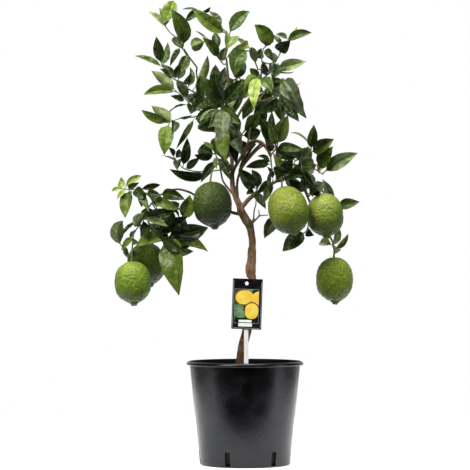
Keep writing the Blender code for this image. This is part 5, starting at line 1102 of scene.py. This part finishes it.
class LEMON_TREE_OT_wood(bpy.types.Operator):
    """Grow the trunk and limbs as one skin of bark"""
    bl_idname = "lemon_tree.wood"
    bl_label = "Trunk and limbs"

    def execute(self, context):
        chosen = settings("wood")
        rods, line = [], []
        for name, points in (("trunk", TRUNK),) + LIMBS:
            path = [place(*p) for p in smooth_path(points, 5)]
            rods.append(rod(name, path))
            line += path
        wood = join("trunk_and_limbs_bark", rods)
        wood.data.remesh_voxel_size = chosen.voxel
        bpy.ops.object.voxel_remesh()
        apply_modifier(wood, "SMOOTH", factor=0.6, iterations=6)
        reach = point_finder([point[:3] for point in line])
        girth = [line[reach.find(v.co)[1]][3] for v in wood.data.vertices]
        old = wood.vertex_groups.new(name="old")
        for i, radius in enumerate(girth):
            old.add([i], min(1.0, max(0.15, (radius - 1.2 * MM) / (4.5 * MM))), "REPLACE")
        guide = bpy.data.objects.new("bark_guide", None)
        bpy.context.scene.collection.objects.link(guide)
        guide.scale = (1, 1, 3.2)
        bpy.context.view_layer.update()
        for kind, width, height in (("CLOUDS", 9, 2.2), ("STUCCI", 3.0, 1.0), ("CLOUDS", 2.2, 0.8)):
            grain = bpy.data.textures.new("bark_grain", kind)
            grain.noise_scale = width * MM
            apply_modifier(wood, "DISPLACE", texture=grain, strength=chosen.relief * height,
                           texture_coords="OBJECT", texture_coords_object=guide, vertex_group="old")
        remove(guide)
        wood.vertex_groups.clear()
        youth = wood.data.attributes.new("youth", "FLOAT", "POINT")
        youth.data.foreach_set("value", [
            min(1.0, max(0.0, (YOUNG_BELOW * MM - r) / (YOUNG_FADE * MM))) for r in girth])
        wood.data.materials.append(lemon_bark())
        smooth(wood, 60)
        finish_piece(wood, "bark", "trunk_and_limbs")
        return {"FINISHED"}


def model_leaf(name, rows):
    """A leaf standing on its foot: blade across Y, upper face towards -X, a few dozen faces to a side."""
    drop_selection()
    bpy.ops.mesh.primitive_grid_add(x_subdivisions=len(rows) - 1, y_subdivisions=LEAF_COLUMNS, size=1,
                                    location=(0, 0, 0.5), rotation=(0, -pi / 2, 0))
    leaf = added("leaf_" + name)
    settle(leaf)
    spots = {v.index: (round(v.co.z * (len(rows) - 1)), round(v.co.y * LEAF_COLUMNS))
             for v in leaf.data.vertices}
    edit(leaf)
    for i, (along, half, left, right) in enumerate(rows):
        level = i / (len(rows) - 1)
        pick(leaf, lambda v: spots[v.index][0] == i)
        bpy.ops.transform.resize(value=(1, half * LEAF_WIDTH * MM, 1), center_override=(0, 0, level))
        bpy.ops.transform.translate(value=(0, 0, along * LEAF_LENGTH * MM - level))
        fold = LEAF_CREASE * half * LEAF_WIDTH / 2
        for side, wave in ((1, left), (-1, right)):
            for column, share in enumerate(CREASE[name], 1):
                pick(leaf, lambda v: spots[v.index] == (i, side * column))
                bpy.ops.transform.translate(value=(-(fold * share + wave * column / 2) * MM, 0, 0))
    leave()
    apply_modifier(leaf, "SOLIDIFY", thickness=settings("leaf").thickness, offset=-1, material_offset=1)
    smooth(leaf, 50)
    return leaf


def leaf_axes(foot, tip, turn_of):
    """A leaf's directions: ahead to its tip, up from its upper face, and left."""
    ahead = (tip - foot).normalized()
    facing = Vector((0, -1, 0))
    face = facing - ahead * facing.dot(ahead)
    if face.length < 0.25:
        face = Vector((0, 0, 1)) - ahead * ahead.z
    face.normalize()
    up = face * cos(radians(turn_of)) + ahead.cross(face) * sin(radians(turn_of))
    return ahead, up, up.cross(ahead)


def blade_edges(foot, tip, width, turn_of, arch, sweep):
    """The solid leaf's edge points at the wider half of its blade."""
    up, left = leaf_axes(foot, tip, turn_of)[1:]
    reach = tip - foot
    stalk = min(0.22, PETIOLE * MM / reach.length)
    share, spread = BLADE[1]

    def middle(t):
        """The point of the leaf's middle line at a share of its length."""
        return foot + reach * t + (up * arch + left * sweep) * (4 * t * (1 - t) * MM)

    t = stalk + (1 - stalk) * share
    heading = (middle(t + 0.02) - middle(t - 0.02)).normalized()
    over = (up - heading * up.dot(heading)).normalized()
    side = over.cross(heading)
    half = width * spread * 0.5 * MM
    return [middle(t) + side * half + over * half * LEAF_FOLD,
            middle(t) - side * half + over * half * LEAF_FOLD]


def find_settled(corners, foot, leaf):
    """The tip and turn that the frame's solid leaf has, among those that it may have been eased to."""
    x, y, z, width, turn_of, arch, sweep = leaf[1:]
    best = None
    for ease in EASE_DEPTH:
        tip = place(x, y + ease, z)
        for twist in EASE_TURN:
            points = [tip] + blade_edges(foot, tip, width, turn_of + twist, arch, sweep)
            miss = sum(corners.find(point)[2] for point in points)
            if best is None or miss < best[0]:
                best = (miss, tip, turn_of + twist)
    return best


def spread_feet(shares, points):
    """Distances of leaves' feet along a twig, each with its own length of twig."""
    lengths = [(b - a).length for a, b in zip(points, points[1:])]
    total = sum(lengths)
    end = 0.4 * MM
    half = min(PATCH * MM, 0.42 * (total - 2 * end) / len(shares))

    def distance(share):
        """How far along the twig a share of its points lies."""
        index = min(int(share), len(lengths) - 1)
        return sum(lengths[:index]) + lengths[index] * (share - index)

    order = sorted(range(len(shares)), key=lambda i: shares[i])
    feet = {}
    highest = total - half - end
    for i in reversed(order):
        feet[i] = min(distance(shares[i]), highest)
        highest = feet[i] - 2.3 * half
    lowest = half + end
    for i in order:
        feet[i] = max(feet[i], lowest)
        lowest = feet[i] + 2.3 * half
    return feet


def point_along(points, distance):
    """The point at a distance along a path."""
    for i, (a, b) in enumerate(zip(points, points[1:])):
        length = (b - a).length
        if distance <= length or i == len(points) - 2:
            return a.lerp(b, max(0.0, min(1.0, distance / length)))
        distance -= length


def nearest_on(path, point):
    """The nearest point of a path to a point."""
    best = None
    for a, b in zip(path, path[1:]):
        share = max(0.0, min(1.0, (point - a).dot(b - a) / (b - a).length_squared))
        spot = a.lerp(b, share)
        if best is None or (spot - point).length < (best - point).length:
            best = spot
    return best


def grow_leaf(master, foot, tip, width, turn_of, arch, sweep, twist):
    """A copy of a leaf master, sized, bent and set on its foot."""
    leaf = copy_of(master, "leaf")
    chord = (tip - foot).length / MM
    bow = (arch * arch + sweep * sweep) / (chord * chord)
    wide = width / LEAF_WIDTH
    leaf.scale = (wide, wide, chord * (1 + 8 / 3 * bow) / LEAF_LENGTH)
    settle(leaf)
    for axis, angle in (("Y", 8 * arch / chord), ("X", -8 * sweep / chord)):
        if abs(angle) > 0.02:
            apply_modifier(leaf, "SIMPLE_DEFORM", deform_method="BEND", deform_axis=axis, angle=angle)
    apply_modifier(leaf, "SIMPLE_DEFORM", deform_method="TWIST", deform_axis="Z", angle=radians(twist))
    end = leaf.data.vertices[master["tip"]].co.copy()
    ahead, up, left = leaf_axes(foot, tip, turn_of)
    along = end.normalized()
    over = (Vector((-1, 0, 0)) + along * along.x).normalized()
    beside = over.cross(along)
    made = Matrix((ahead, up, left)).transposed() @ Matrix((along, over, beside))
    leaf.matrix_world = (Matrix.Translation(foot) @ made.to_4x4()
                         @ Matrix.Scale((tip - foot).length / end.length, 4))
    return leaf


def grow_shoot(row, masters, looks, dice, boughs):
    """One piece: a green twig with its leaves."""
    name, points, thick, thin, leaves = row
    spine = [place(*p) for p in points]
    count = len(points) - 1
    path = [place(*p) for p in smooth_path([(*p, thick + (thin - thick) * i / count)
                                            for i, p in enumerate(points)], 4)]
    others = [other for other in boughs if other[0] != name]
    near = min((nearest_on(other[1], spine[0]) for other in others), key=lambda p: (p - spine[0]).length)
    if (near - spine[0]).length > 0.2 * MM:
        halfway = near.lerp(spine[0], 0.5)
        path = [(*near, thick * MM), (*halfway, thick * MM)] + path
    line = [Vector(p[:3]) for p in path]
    twig = rod(name, path, 1)
    twig.data.materials.append(looks[2])
    corners = point_finder([vert.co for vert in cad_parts[name].data.vertices])
    feet = spread_feet([leaf[0] for leaf in leaves], spine)
    parts = [twig]
    paint(twig, settings("leaf").twig[:])
    worst = 0.0
    for i, leaf in enumerate(leaves):
        foot = point_along(spine, feet[i])
        miss, tip, turned = find_settled(corners, foot, leaf)
        worst = max(worst, miss)
        part = grow_leaf(masters[dice.randrange(len(masters))], nearest_on(line, foot), tip, leaf[4], turned,
                         leaf[6], leaf[7], dice.uniform(-14, 14))
        # The leaf's tone: partly its own colour, partly painted light and shade.
        letter = TONES[name][i]
        tone = Vector(getattr(settings("leaf"), TONE_NAMES[letter])) * dice.uniform(0.86, 1.16)
        paint(part, tuple(tone))
        parts.append(part)
    if worst > 0.5 * MM:
        raise RuntimeError(f"{name}: a leaf isn't where its solid is, by {worst / MM:.2f} mm")
    shoot = join(name.replace("shoot", "leaves"), parts)
    finish_piece(shoot, "leaf", name)


class LEMON_TREE_OT_leaves(bpy.types.Operator):
    """Grow the leafy shoots, each a twig with its leaves"""
    bl_idname = "lemon_tree.leaves"
    bl_label = "Leafy shoots"

    def execute(self, context):
        looks = (leaf_upper(), leaf_lower(), twig_skin())
        masters = []
        for name, rows in LEAF_MASTERS.items():
            master = model_leaf(name, rows)
            for look in looks[:2]:
                master.data.materials.append(look)
            master["tip"] = max(master.data.vertices, key=lambda v: (round(v.co.z, 6), -abs(v.co.y))).index
            masters.append(master)
        dice = Random(7)
        boughs = [(name, [place(*p[:3]) for p in points]) for name, points in (("trunk", TRUNK),) + LIMBS]
        boughs += [(row[0], [place(*p) for p in row[1]]) for row in SHOOTS]
        for row in SHOOTS:
            grow_shoot(row, masters, looks, dice, boughs)
        remove(*masters)
        return {"FINISHED"}


def model_lemon():
    """A lemon of radius 1 and length 1, hanging from the origin."""
    lemon = turn("lemon_master", [(r / MM, -t / MM) for r, t in LEMON_TURN], LEMON_SIDES)
    apply_modifier(lemon, "SUBSURF", levels=2, render_levels=2)
    return lemon


def model_calyx():
    """The star that a stalk ends in, on the origin."""
    drop_selection()
    bpy.ops.mesh.primitive_circle_add(vertices=2 * CALYX_LOBES, radius=CALYX_RADIUS * MM, fill_type="NGON")
    calyx = added("calyx_master")
    settle(calyx)
    edit(calyx)
    pick(calyx, lambda v: v.index % 2)
    bpy.ops.transform.resize(value=(0.62, 0.62, 1), center_override=(0, 0, 0))
    pick(calyx, lambda v: v.index % 2 == 0)
    bpy.ops.transform.translate(value=(0, 0, -0.7 * MM))
    bpy.ops.mesh.select_all(action="SELECT")
    bpy.ops.mesh.extrude_region_move(TRANSFORM_OT_translate={"value": (0, 0, 1.3 * MM)})
    bpy.ops.transform.resize(value=(0.5, 0.5, 1), center_override=(0, 0, 0))
    outward()
    leave()
    apply_modifier(calyx, "SUBSURF", levels=2, render_levels=2)
    return calyx


def hang(obj, at, axis):
    """Put an object at a place, hanging along an axis."""
    obj.rotation_mode = "QUATERNION"
    obj.rotation_quaternion = axis.to_track_quat("-Z", "Y")
    obj.location = at
    settle(obj)


def hang_lemon(row, fruit_master, calyx_master, looks, boughs):
    """One piece: a lemon with its calyx, on its stalk."""
    name, stalk, stem, tip, radius = row
    top, end = place(*stem), place(*tip)
    axis = (end - top).normalized()
    shade, ripe_and_lit, facing, roll = RIPENESS_AND_PAINTED_LIGHT[name]
    fruit = copy_of(fruit_master, name)
    fruit.scale = (radius * MM, radius * MM, (end - top).length)
    fruit.rotation_euler = (0, 0, radians(roll))
    settle(fruit)
    chosen = settings("lemon")
    for kind, width, height in (("CLOUDS", 24 * MM, 1.6 * MM), ("VORONOI", chosen.pebble, -chosen.relief),
                                ("CLOUDS", 0.5 * chosen.pebble, 0.7 * chosen.relief)):
        lumps = bpy.data.textures.new("rind_lumps", kind)
        lumps.noise_scale = width
        apply_modifier(fruit, "DISPLACE", texture=lumps, strength=height)
    hang(fruit, top, axis)
    # Painted light and shade, over a riper flush: the rind grades from its shade to its lighter shade on the
    # side that faces mostly towards the key light.
    middle = top.lerp(end, 0.45)
    side = Vector(facing).normalized()
    low, high = Vector(linear(shade)), Vector(linear(ripe_and_lit))
    tones = []
    for vert in fruit.data.vertices:
        lean = (vert.co - middle).dot(side) / (radius * MM)
        tones.append(tuple(low.lerp(high, max(0.0, min(1.0, 0.05 + 0.8 * lean)))))
    paint(fruit, tones)
    fruit.data.materials.append(looks[0])
    smooth(fruit, 80)
    calyx = copy_of(calyx_master, "calyx")
    hang(calyx, top - axis * 0.3 * MM, axis)
    calyx.data.materials.append(looks[1])
    paint(calyx, chosen.calyx[:])
    smooth(calyx, 80)
    first = place(*stalk[0])
    root = boughs.find_nearest(first)[0]
    inside = root + (root - first).normalized() * 1.0 * MM
    spots = [inside] + [place(*p) for p in stalk] + [top - axis * 3 * MM, top - axis * 0.3 * MM]
    widths = [1.0] * (len(spots) - 2) + [1.15, 1.5]
    path = smooth_path([(*p, STALK * w * MM) for p, w in zip(spots, widths)], 5)
    stem_rod = rod(name + "_stalk", path, 2)
    stem_rod.data.materials.append(looks[2])
    paint(stem_rod, settings("leaf").twig[:])
    whole = join(name + "_fruit", [fruit, calyx, stem_rod])
    finish_piece(whole, "lemon_skin", name)


class LEMON_TREE_OT_lemons(bpy.types.Operator):
    """Hang the six lemons, each with its calyx and stalk"""
    bl_idname = "lemon_tree.lemons"
    bl_label = "Lemons"

    def execute(self, context):
        fruit, calyx = model_lemon(), model_calyx()
        calyx_skin = fibrous_material("calyx_skin", settings("lemon").calyx, linear("#77743f"))
        looks = (lemon_rind(), calyx_skin, twig_skin())
        verts, faces = [], []
        for name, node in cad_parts.items():
            if name.startswith("shoot") or name == "trunk_and_limbs":
                start = len(verts)
                verts += [v.co for v in node.data.vertices]
                faces += [tuple(start + i for i in p.vertices) for p in node.data.polygons]
        boughs = BVHTree.FromPolygons(verts, faces)
        for row in LEMONS:
            hang_lemon(row, fruit, calyx, looks, boughs)
        remove(fruit, calyx)
        return {"FINISHED"}


def card_shape(name, middle, half, layer, material, sides=0):
    """A flat printed shape on the card: a box, or an ellipse that is domed a little."""
    x, z = middle
    wide, high = half
    front = -TAG_SIZE[1] / 2 - layer
    drop_selection()
    if sides:
        bpy.ops.mesh.primitive_uv_sphere_add(segments=sides, ring_count=sides // 2, radius=1,
                                             rotation=(pi / 2, 0, 0))
        depth = 0.35
    else:
        bpy.ops.mesh.primitive_cube_add(size=2)
        depth = 0.06
    shape = added(name)
    settle(shape)
    shape.scale = (wide * MM, depth * MM, high * MM)
    shape.location = (x * MM, front * MM, z * MM)
    settle(shape)
    shape.data.materials.append(material)
    return shape


def printed_lemon(stem, radius, length, lean, layer, material):
    """A lemon of the picture in low relief: its stem end, size and how far it leans."""
    fruit = turn("printed_lemon", [(r * radius, -t * length) for r, t in LEMON_TURN], 32)
    fruit.scale = (1, 0.45 / radius, 1)
    settle(fruit)
    fruit.rotation_euler = (0, radians(lean), 0)
    fruit.location = (stem[0] * MM, (-TAG_SIZE[1] / 2 - layer) * MM, stem[1] * MM)
    settle(fruit)
    fruit.data.materials.append(material)
    return fruit


def trim(obj, x_low, x_high, z_low, z_high):
    """Cut a picture's shape off at the picture's edges."""
    edit(obj)
    for at, normal in (((x_low, 0, 0), (-1, 0, 0)), ((x_high, 0, 0), (1, 0, 0)),
                       ((0, 0, z_low), (0, 0, -1)), ((0, 0, z_high), (0, 0, 1))):
        bpy.ops.mesh.select_all(action="SELECT")
        bpy.ops.mesh.bisect(plane_co=Vector(at) * MM, plane_no=normal, use_fill=True, clear_outer=True)
    outward()
    leave()


class LEMON_TREE_OT_tag(bpy.types.Operator):
    """Make the plant tag: a black card with a plain picture of lemons, and the stake behind it"""
    bl_idname = "lemon_tree.tag"
    bl_label = "Tag and stake"

    def execute(self, context):
        chosen = settings("tag")
        # The fruit, label and line inks get a painted glow: they emit a little light so that they look
        # brighter.
        ink = {
            "card": printed_card("black_card_film", chosen.border, linear("#2e2632"), 0.16),
            "field": printed_card("picture_ground_ink", linear("#2c4a22"), linear("#101a0e")),
            "fruit": printed_card("picture_lemon_ink", chosen.fruit, linear("#ffb830"), 0.45, 0.30),
            "shadow": printed_card("picture_shadow_ink", linear("#a86a18"), linear("#4c4a18"), 0.45),
            "leaf": printed_card("picture_leaf_ink", linear("#5f9a5c"), linear("#9cc294")),
            "label": printed_card("label_paper", chosen.label, linear("#f4f4f2"), 0.6, 0.35),
            "line": printed_card("card_line_ink", linear("#b4b4b6"), linear("#8c8c90"), 0.3, 0.3),
            "edge": printed_card("label_edge_ink", linear("#2a282c"), linear("#1a181c")),
        }
        card = block("card", Vector(TAG_SIZE) * MM)
        edit(card)
        bpy.ops.mesh.select_mode(type="EDGE")
        shape = bmesh.from_edit_mesh(card.data)
        for edge in shape.edges:
            edge.select = abs(edge.verts[0].co.y - edge.verts[1].co.y) > 0.5 * TAG_SIZE[1] * MM
        shape.select_flush_mode()
        bpy.ops.mesh.bevel(offset=TAG_CORNER * MM, segments=4, affect="EDGES")
        leave()
        hole = turn("hole_cutter", ((TAG_HOLE[0], -3), (TAG_HOLE[0], 3)), 32)
        hole.rotation_euler = (pi / 2, 0, 0)
        hole.location = (TAG_HOLE[1] * MM, 0, TAG_HOLE[2] * MM)
        settle(hole)
        apply_modifier(card, "BOOLEAN", object=hole, operation="DIFFERENCE", solver="EXACT")
        remove(hole)
        card.data.materials.clear()
        card.data.materials.append(ink["card"])
        x, z, wide, high = PICTURE
        sides = (x - wide / 2, x + wide / 2, z - high / 2, z + high / 2)
        parts = [card, card_shape("line", (x, z), (wide / 2 + 0.5, high / 2 + 0.5), 0.02, ink["line"]),
                 card_shape("field", (x, z), (wide / 2, high / 2), 0.07, ink["field"])]
        for stem, radius, length, lean, layer in PRINTED_LEMONS:
            parts.append(printed_lemon(stem, radius, length, lean, layer, ink["fruit"]))
            parts.append(printed_lemon(stem, radius + 0.9, length + 1.4, lean, layer - 0.07, ink["shadow"]))
        for spot, half in PRINTED_LEAVES:
            parts.append(card_shape("printed_leaf", spot, half, 0.05, ink["leaf"], 24))
        for part in parts[3:]:
            trim(part, *sides)
        for (x, z), (wide, high) in LABELS:
            parts.append(card_shape("label_edge", (x, z), (wide + 0.6, high + 0.6), 0.22, ink["edge"]))
            parts.append(card_shape("label_strip", (x, z), (wide, high), 0.32, ink["label"]))
        for spot, half in WORN_EDGES:
            parts.append(card_shape("worn_edge", spot, half, 0.02, ink["line"]))
        card = join("plant_tag", parts)
        card.rotation_euler = (0, radians(TAG_LEAN), 0)
        card.location = Vector(TAG_CENTRE) * MM
        settle(card)
        smooth(card, 35)
        finish_piece(card, "tag_card", "tag_card")
        width, thick, top, foot = STAKE_SIZE
        depth = TAG_CENTRE[1] + TAG_SIZE[1] / 2 + STAKE_GAP + thick / 2
        stake = block("stake_body", (width * MM, thick * MM, (top - foot) * MM),
                      (STAKE_X * MM, depth * MM, (top + foot) / 2 * MM))
        edit(stake)
        bpy.ops.mesh.select_all(action="SELECT")
        bpy.ops.mesh.bisect(plane_co=(0, 0, (foot + STAKE_POINT[0]) * MM), plane_no=(0, 0, 1))
        pick(stake, lambda v: v.co.z < (foot + 1) * MM)
        bpy.ops.transform.resize(value=(STAKE_POINT[1], 1, 1), center_override=(STAKE_X * MM, 0, 0))
        leave()
        apply_modifier(stake, "BEVEL", width=0.3 * MM, segments=2)
        # The stake's plastic gets a painted glow: it emits a little light so that it looks whiter.
        plastic = printed_card("white_polystyrene", chosen.stake, linear("#f1eee6"), 0.45, 0.22)
        stake.data.materials.append(plastic)
        stake.name = "white_stake"
        smooth(stake, 35)
        finish_piece(stake, "stake_plastic", "tag_stake")
        return {"FINISHED"}


# ---------------------------------------------------------------- stage

def soft_box(name, spot, aim, width, height, power):
    """A soft box at a spot, facing what it lights."""
    bpy.ops.object.light_add(type="AREA", location=spot)
    light = bpy.context.object
    light.name = name
    light.data.shape = "RECTANGLE"
    light.data.size = width
    light.data.size_y = height
    light.data.energy = power * settings("stage").light
    light.rotation_euler = (Vector(aim) - Vector(spot)).to_track_quat("-Z", "Y").to_euler()


class LEMON_TREE_OT_stage(bpy.types.Operator):
    """Lay the white floor, and set the soft lights and the camera"""
    bl_idname = "lemon_tree.stage"
    bl_label = "Studio"

    def execute(self, context):
        scene = context.scene
        width = settings("stage").floor
        drop_selection()
        bpy.ops.mesh.primitive_plane_add(size=width, location=(0, width / 2 - FLOOR_FRONT, 0))
        floor = added("floor")
        settle(floor)
        floor.data.materials.append(white_sweep())
        floor.visible_diffuse = False
        world = bpy.data.worlds.new("studio")
        world.use_nodes = True
        tree = world.node_tree
        ground = tree.nodes["Background"]
        ground.inputs["Color"].default_value = (1, 1, 1, 1)
        where = add(tree, "ShaderNodeTexCoord").outputs["Generated"]
        split = add(tree, "ShaderNodeSeparateXYZ", {0: where})
        high = add(tree, "ShaderNodeMapRange", {0: split.outputs["Z"], 1: -0.25, 2: 0.75,
                                               3: ROOM_LIGHT[0], 4: ROOM_LIGHT[1]},
                   interpolation_type="SMOOTHSTEP")
        front = add(tree, "ShaderNodeMapRange", {0: split.outputs["Y"], 1: -0.92, 2: -0.45, 3: 0.12, 4: 1.0},
                    interpolation_type="SMOOTHSTEP")
        level = add(tree, "ShaderNodeMapRange", {0: split.outputs["Z"], 1: 0.1, 2: 0.5, 3: 0.0, 4: 1.0})
        dim = add(tree, "ShaderNodeMath", {0: front.outputs[0], 1: level.outputs[0]}, operation="MAXIMUM")
        room = add(tree, "ShaderNodeMath", {0: high.outputs[0], 1: dim.outputs[0]}, operation="MULTIPLY")
        ray = add(tree, "ShaderNodeLightPath")
        upper = add(tree, "ShaderNodeMapRange", {0: split.outputs["Z"], 1: -0.05, 2: 0.45,
                                                3: MIRRORED_ROOM[0], 4: MIRRORED_ROOM[1]})
        mirrored = add(tree, "ShaderNodeMath", {0: room.outputs[0], 1: upper.outputs[0]},
                       operation="MULTIPLY")
        behind = add(tree, "ShaderNodeMapRange", {0: split.outputs["Y"], 1: 0.35, 2: 0.9, 3: 0.0,
                                                 4: MIRRORED_BACKDROP},
                     interpolation_type="SMOOTHSTEP")
        backed = add(tree, "ShaderNodeMath", {0: mirrored.outputs[0], 1: behind.outputs[0]}, operation="ADD")
        lit = add(tree, "ShaderNodeMix", {0: ray.outputs["Is Glossy Ray"], 2: room.outputs[0],
                                          3: backed.outputs[0]}, data_type="FLOAT")
        shown = add(tree, "ShaderNodeMix", {0: ray.outputs["Is Camera Ray"], 2: lit.outputs[0], 3: 1.0},
                    data_type="FLOAT")
        tree.links.new(shown.outputs[0], ground.inputs["Strength"])
        scene.world = world
        for name, row in SOFT_BOXES.items():
            soft_box(name, *row)
        camera = bpy.data.cameras.new("camera")
        camera.lens = CAMERA_LENS
        camera.sensor_width = 36.0
        camera.shift_x, camera.shift_y = CAMERA_SHIFT
        camera.clip_start, camera.clip_end = 0.05, 60.0
        seat = bpy.data.objects.new("camera", camera)
        seat.location = CAMERA_AT
        seat.rotation_euler = (pi / 2, 0, 0)
        scene.collection.objects.link(seat)
        scene.camera = seat
        scene.view_settings.view_transform = "Standard"
        return {"FINISHED"}


class LEMON_TREE_PT_panel(bpy.types.Panel):
    """Sizes, colours and pieces of the potted lemon tree"""
    bl_label = "Lemon Tree"
    bl_idname = "LEMON_TREE_PT_panel"
    bl_space_type = "VIEW_3D"
    bl_region_type = "UI"
    bl_category = "Lemon Tree"

    def draw(self, context):
        for part, group in SETTINGS.items():
            box = self.layout.box()
            box.label(text=part.title())
            for name in group.__annotations__:
                box.prop(settings(part), name)
        for operator in OPERATORS:
            self.layout.operator(operator.bl_idname)


OPERATORS = (LEMON_TREE_OT_pot, LEMON_TREE_OT_soil, LEMON_TREE_OT_wood, LEMON_TREE_OT_leaves,
             LEMON_TREE_OT_lemons, LEMON_TREE_OT_tag, LEMON_TREE_OT_stage)


def register():
    """Add the settings, the operators and the panel to Blender."""
    for part, group in SETTINGS.items():
        bpy.utils.register_class(group)
        setattr(bpy.types.Scene, "lemon_tree_" + part, PointerProperty(type=group))
    for kind in OPERATORS + (LEMON_TREE_PT_panel,):
        bpy.utils.register_class(kind)


def unregister():
    """Take the panel, the operators and the settings out again."""
    for kind in (LEMON_TREE_PT_panel,) + OPERATORS[::-1]:
        bpy.utils.unregister_class(kind)
    for part, group in SETTINGS.items():
        delattr(bpy.types.Scene, "lemon_tree_" + part)
        bpy.utils.unregister_class(group)


def main():
    """Build the tree and its studio."""
    register()
    bpy.ops.lemon_tree.pot()
    bpy.ops.lemon_tree.soil()
    bpy.ops.lemon_tree.wood()
    bpy.ops.lemon_tree.leaves()
    bpy.ops.lemon_tree.lemons()
    bpy.ops.lemon_tree.tag()
    bpy.ops.lemon_tree.stage()


if __name__ == "__main__":
    main()
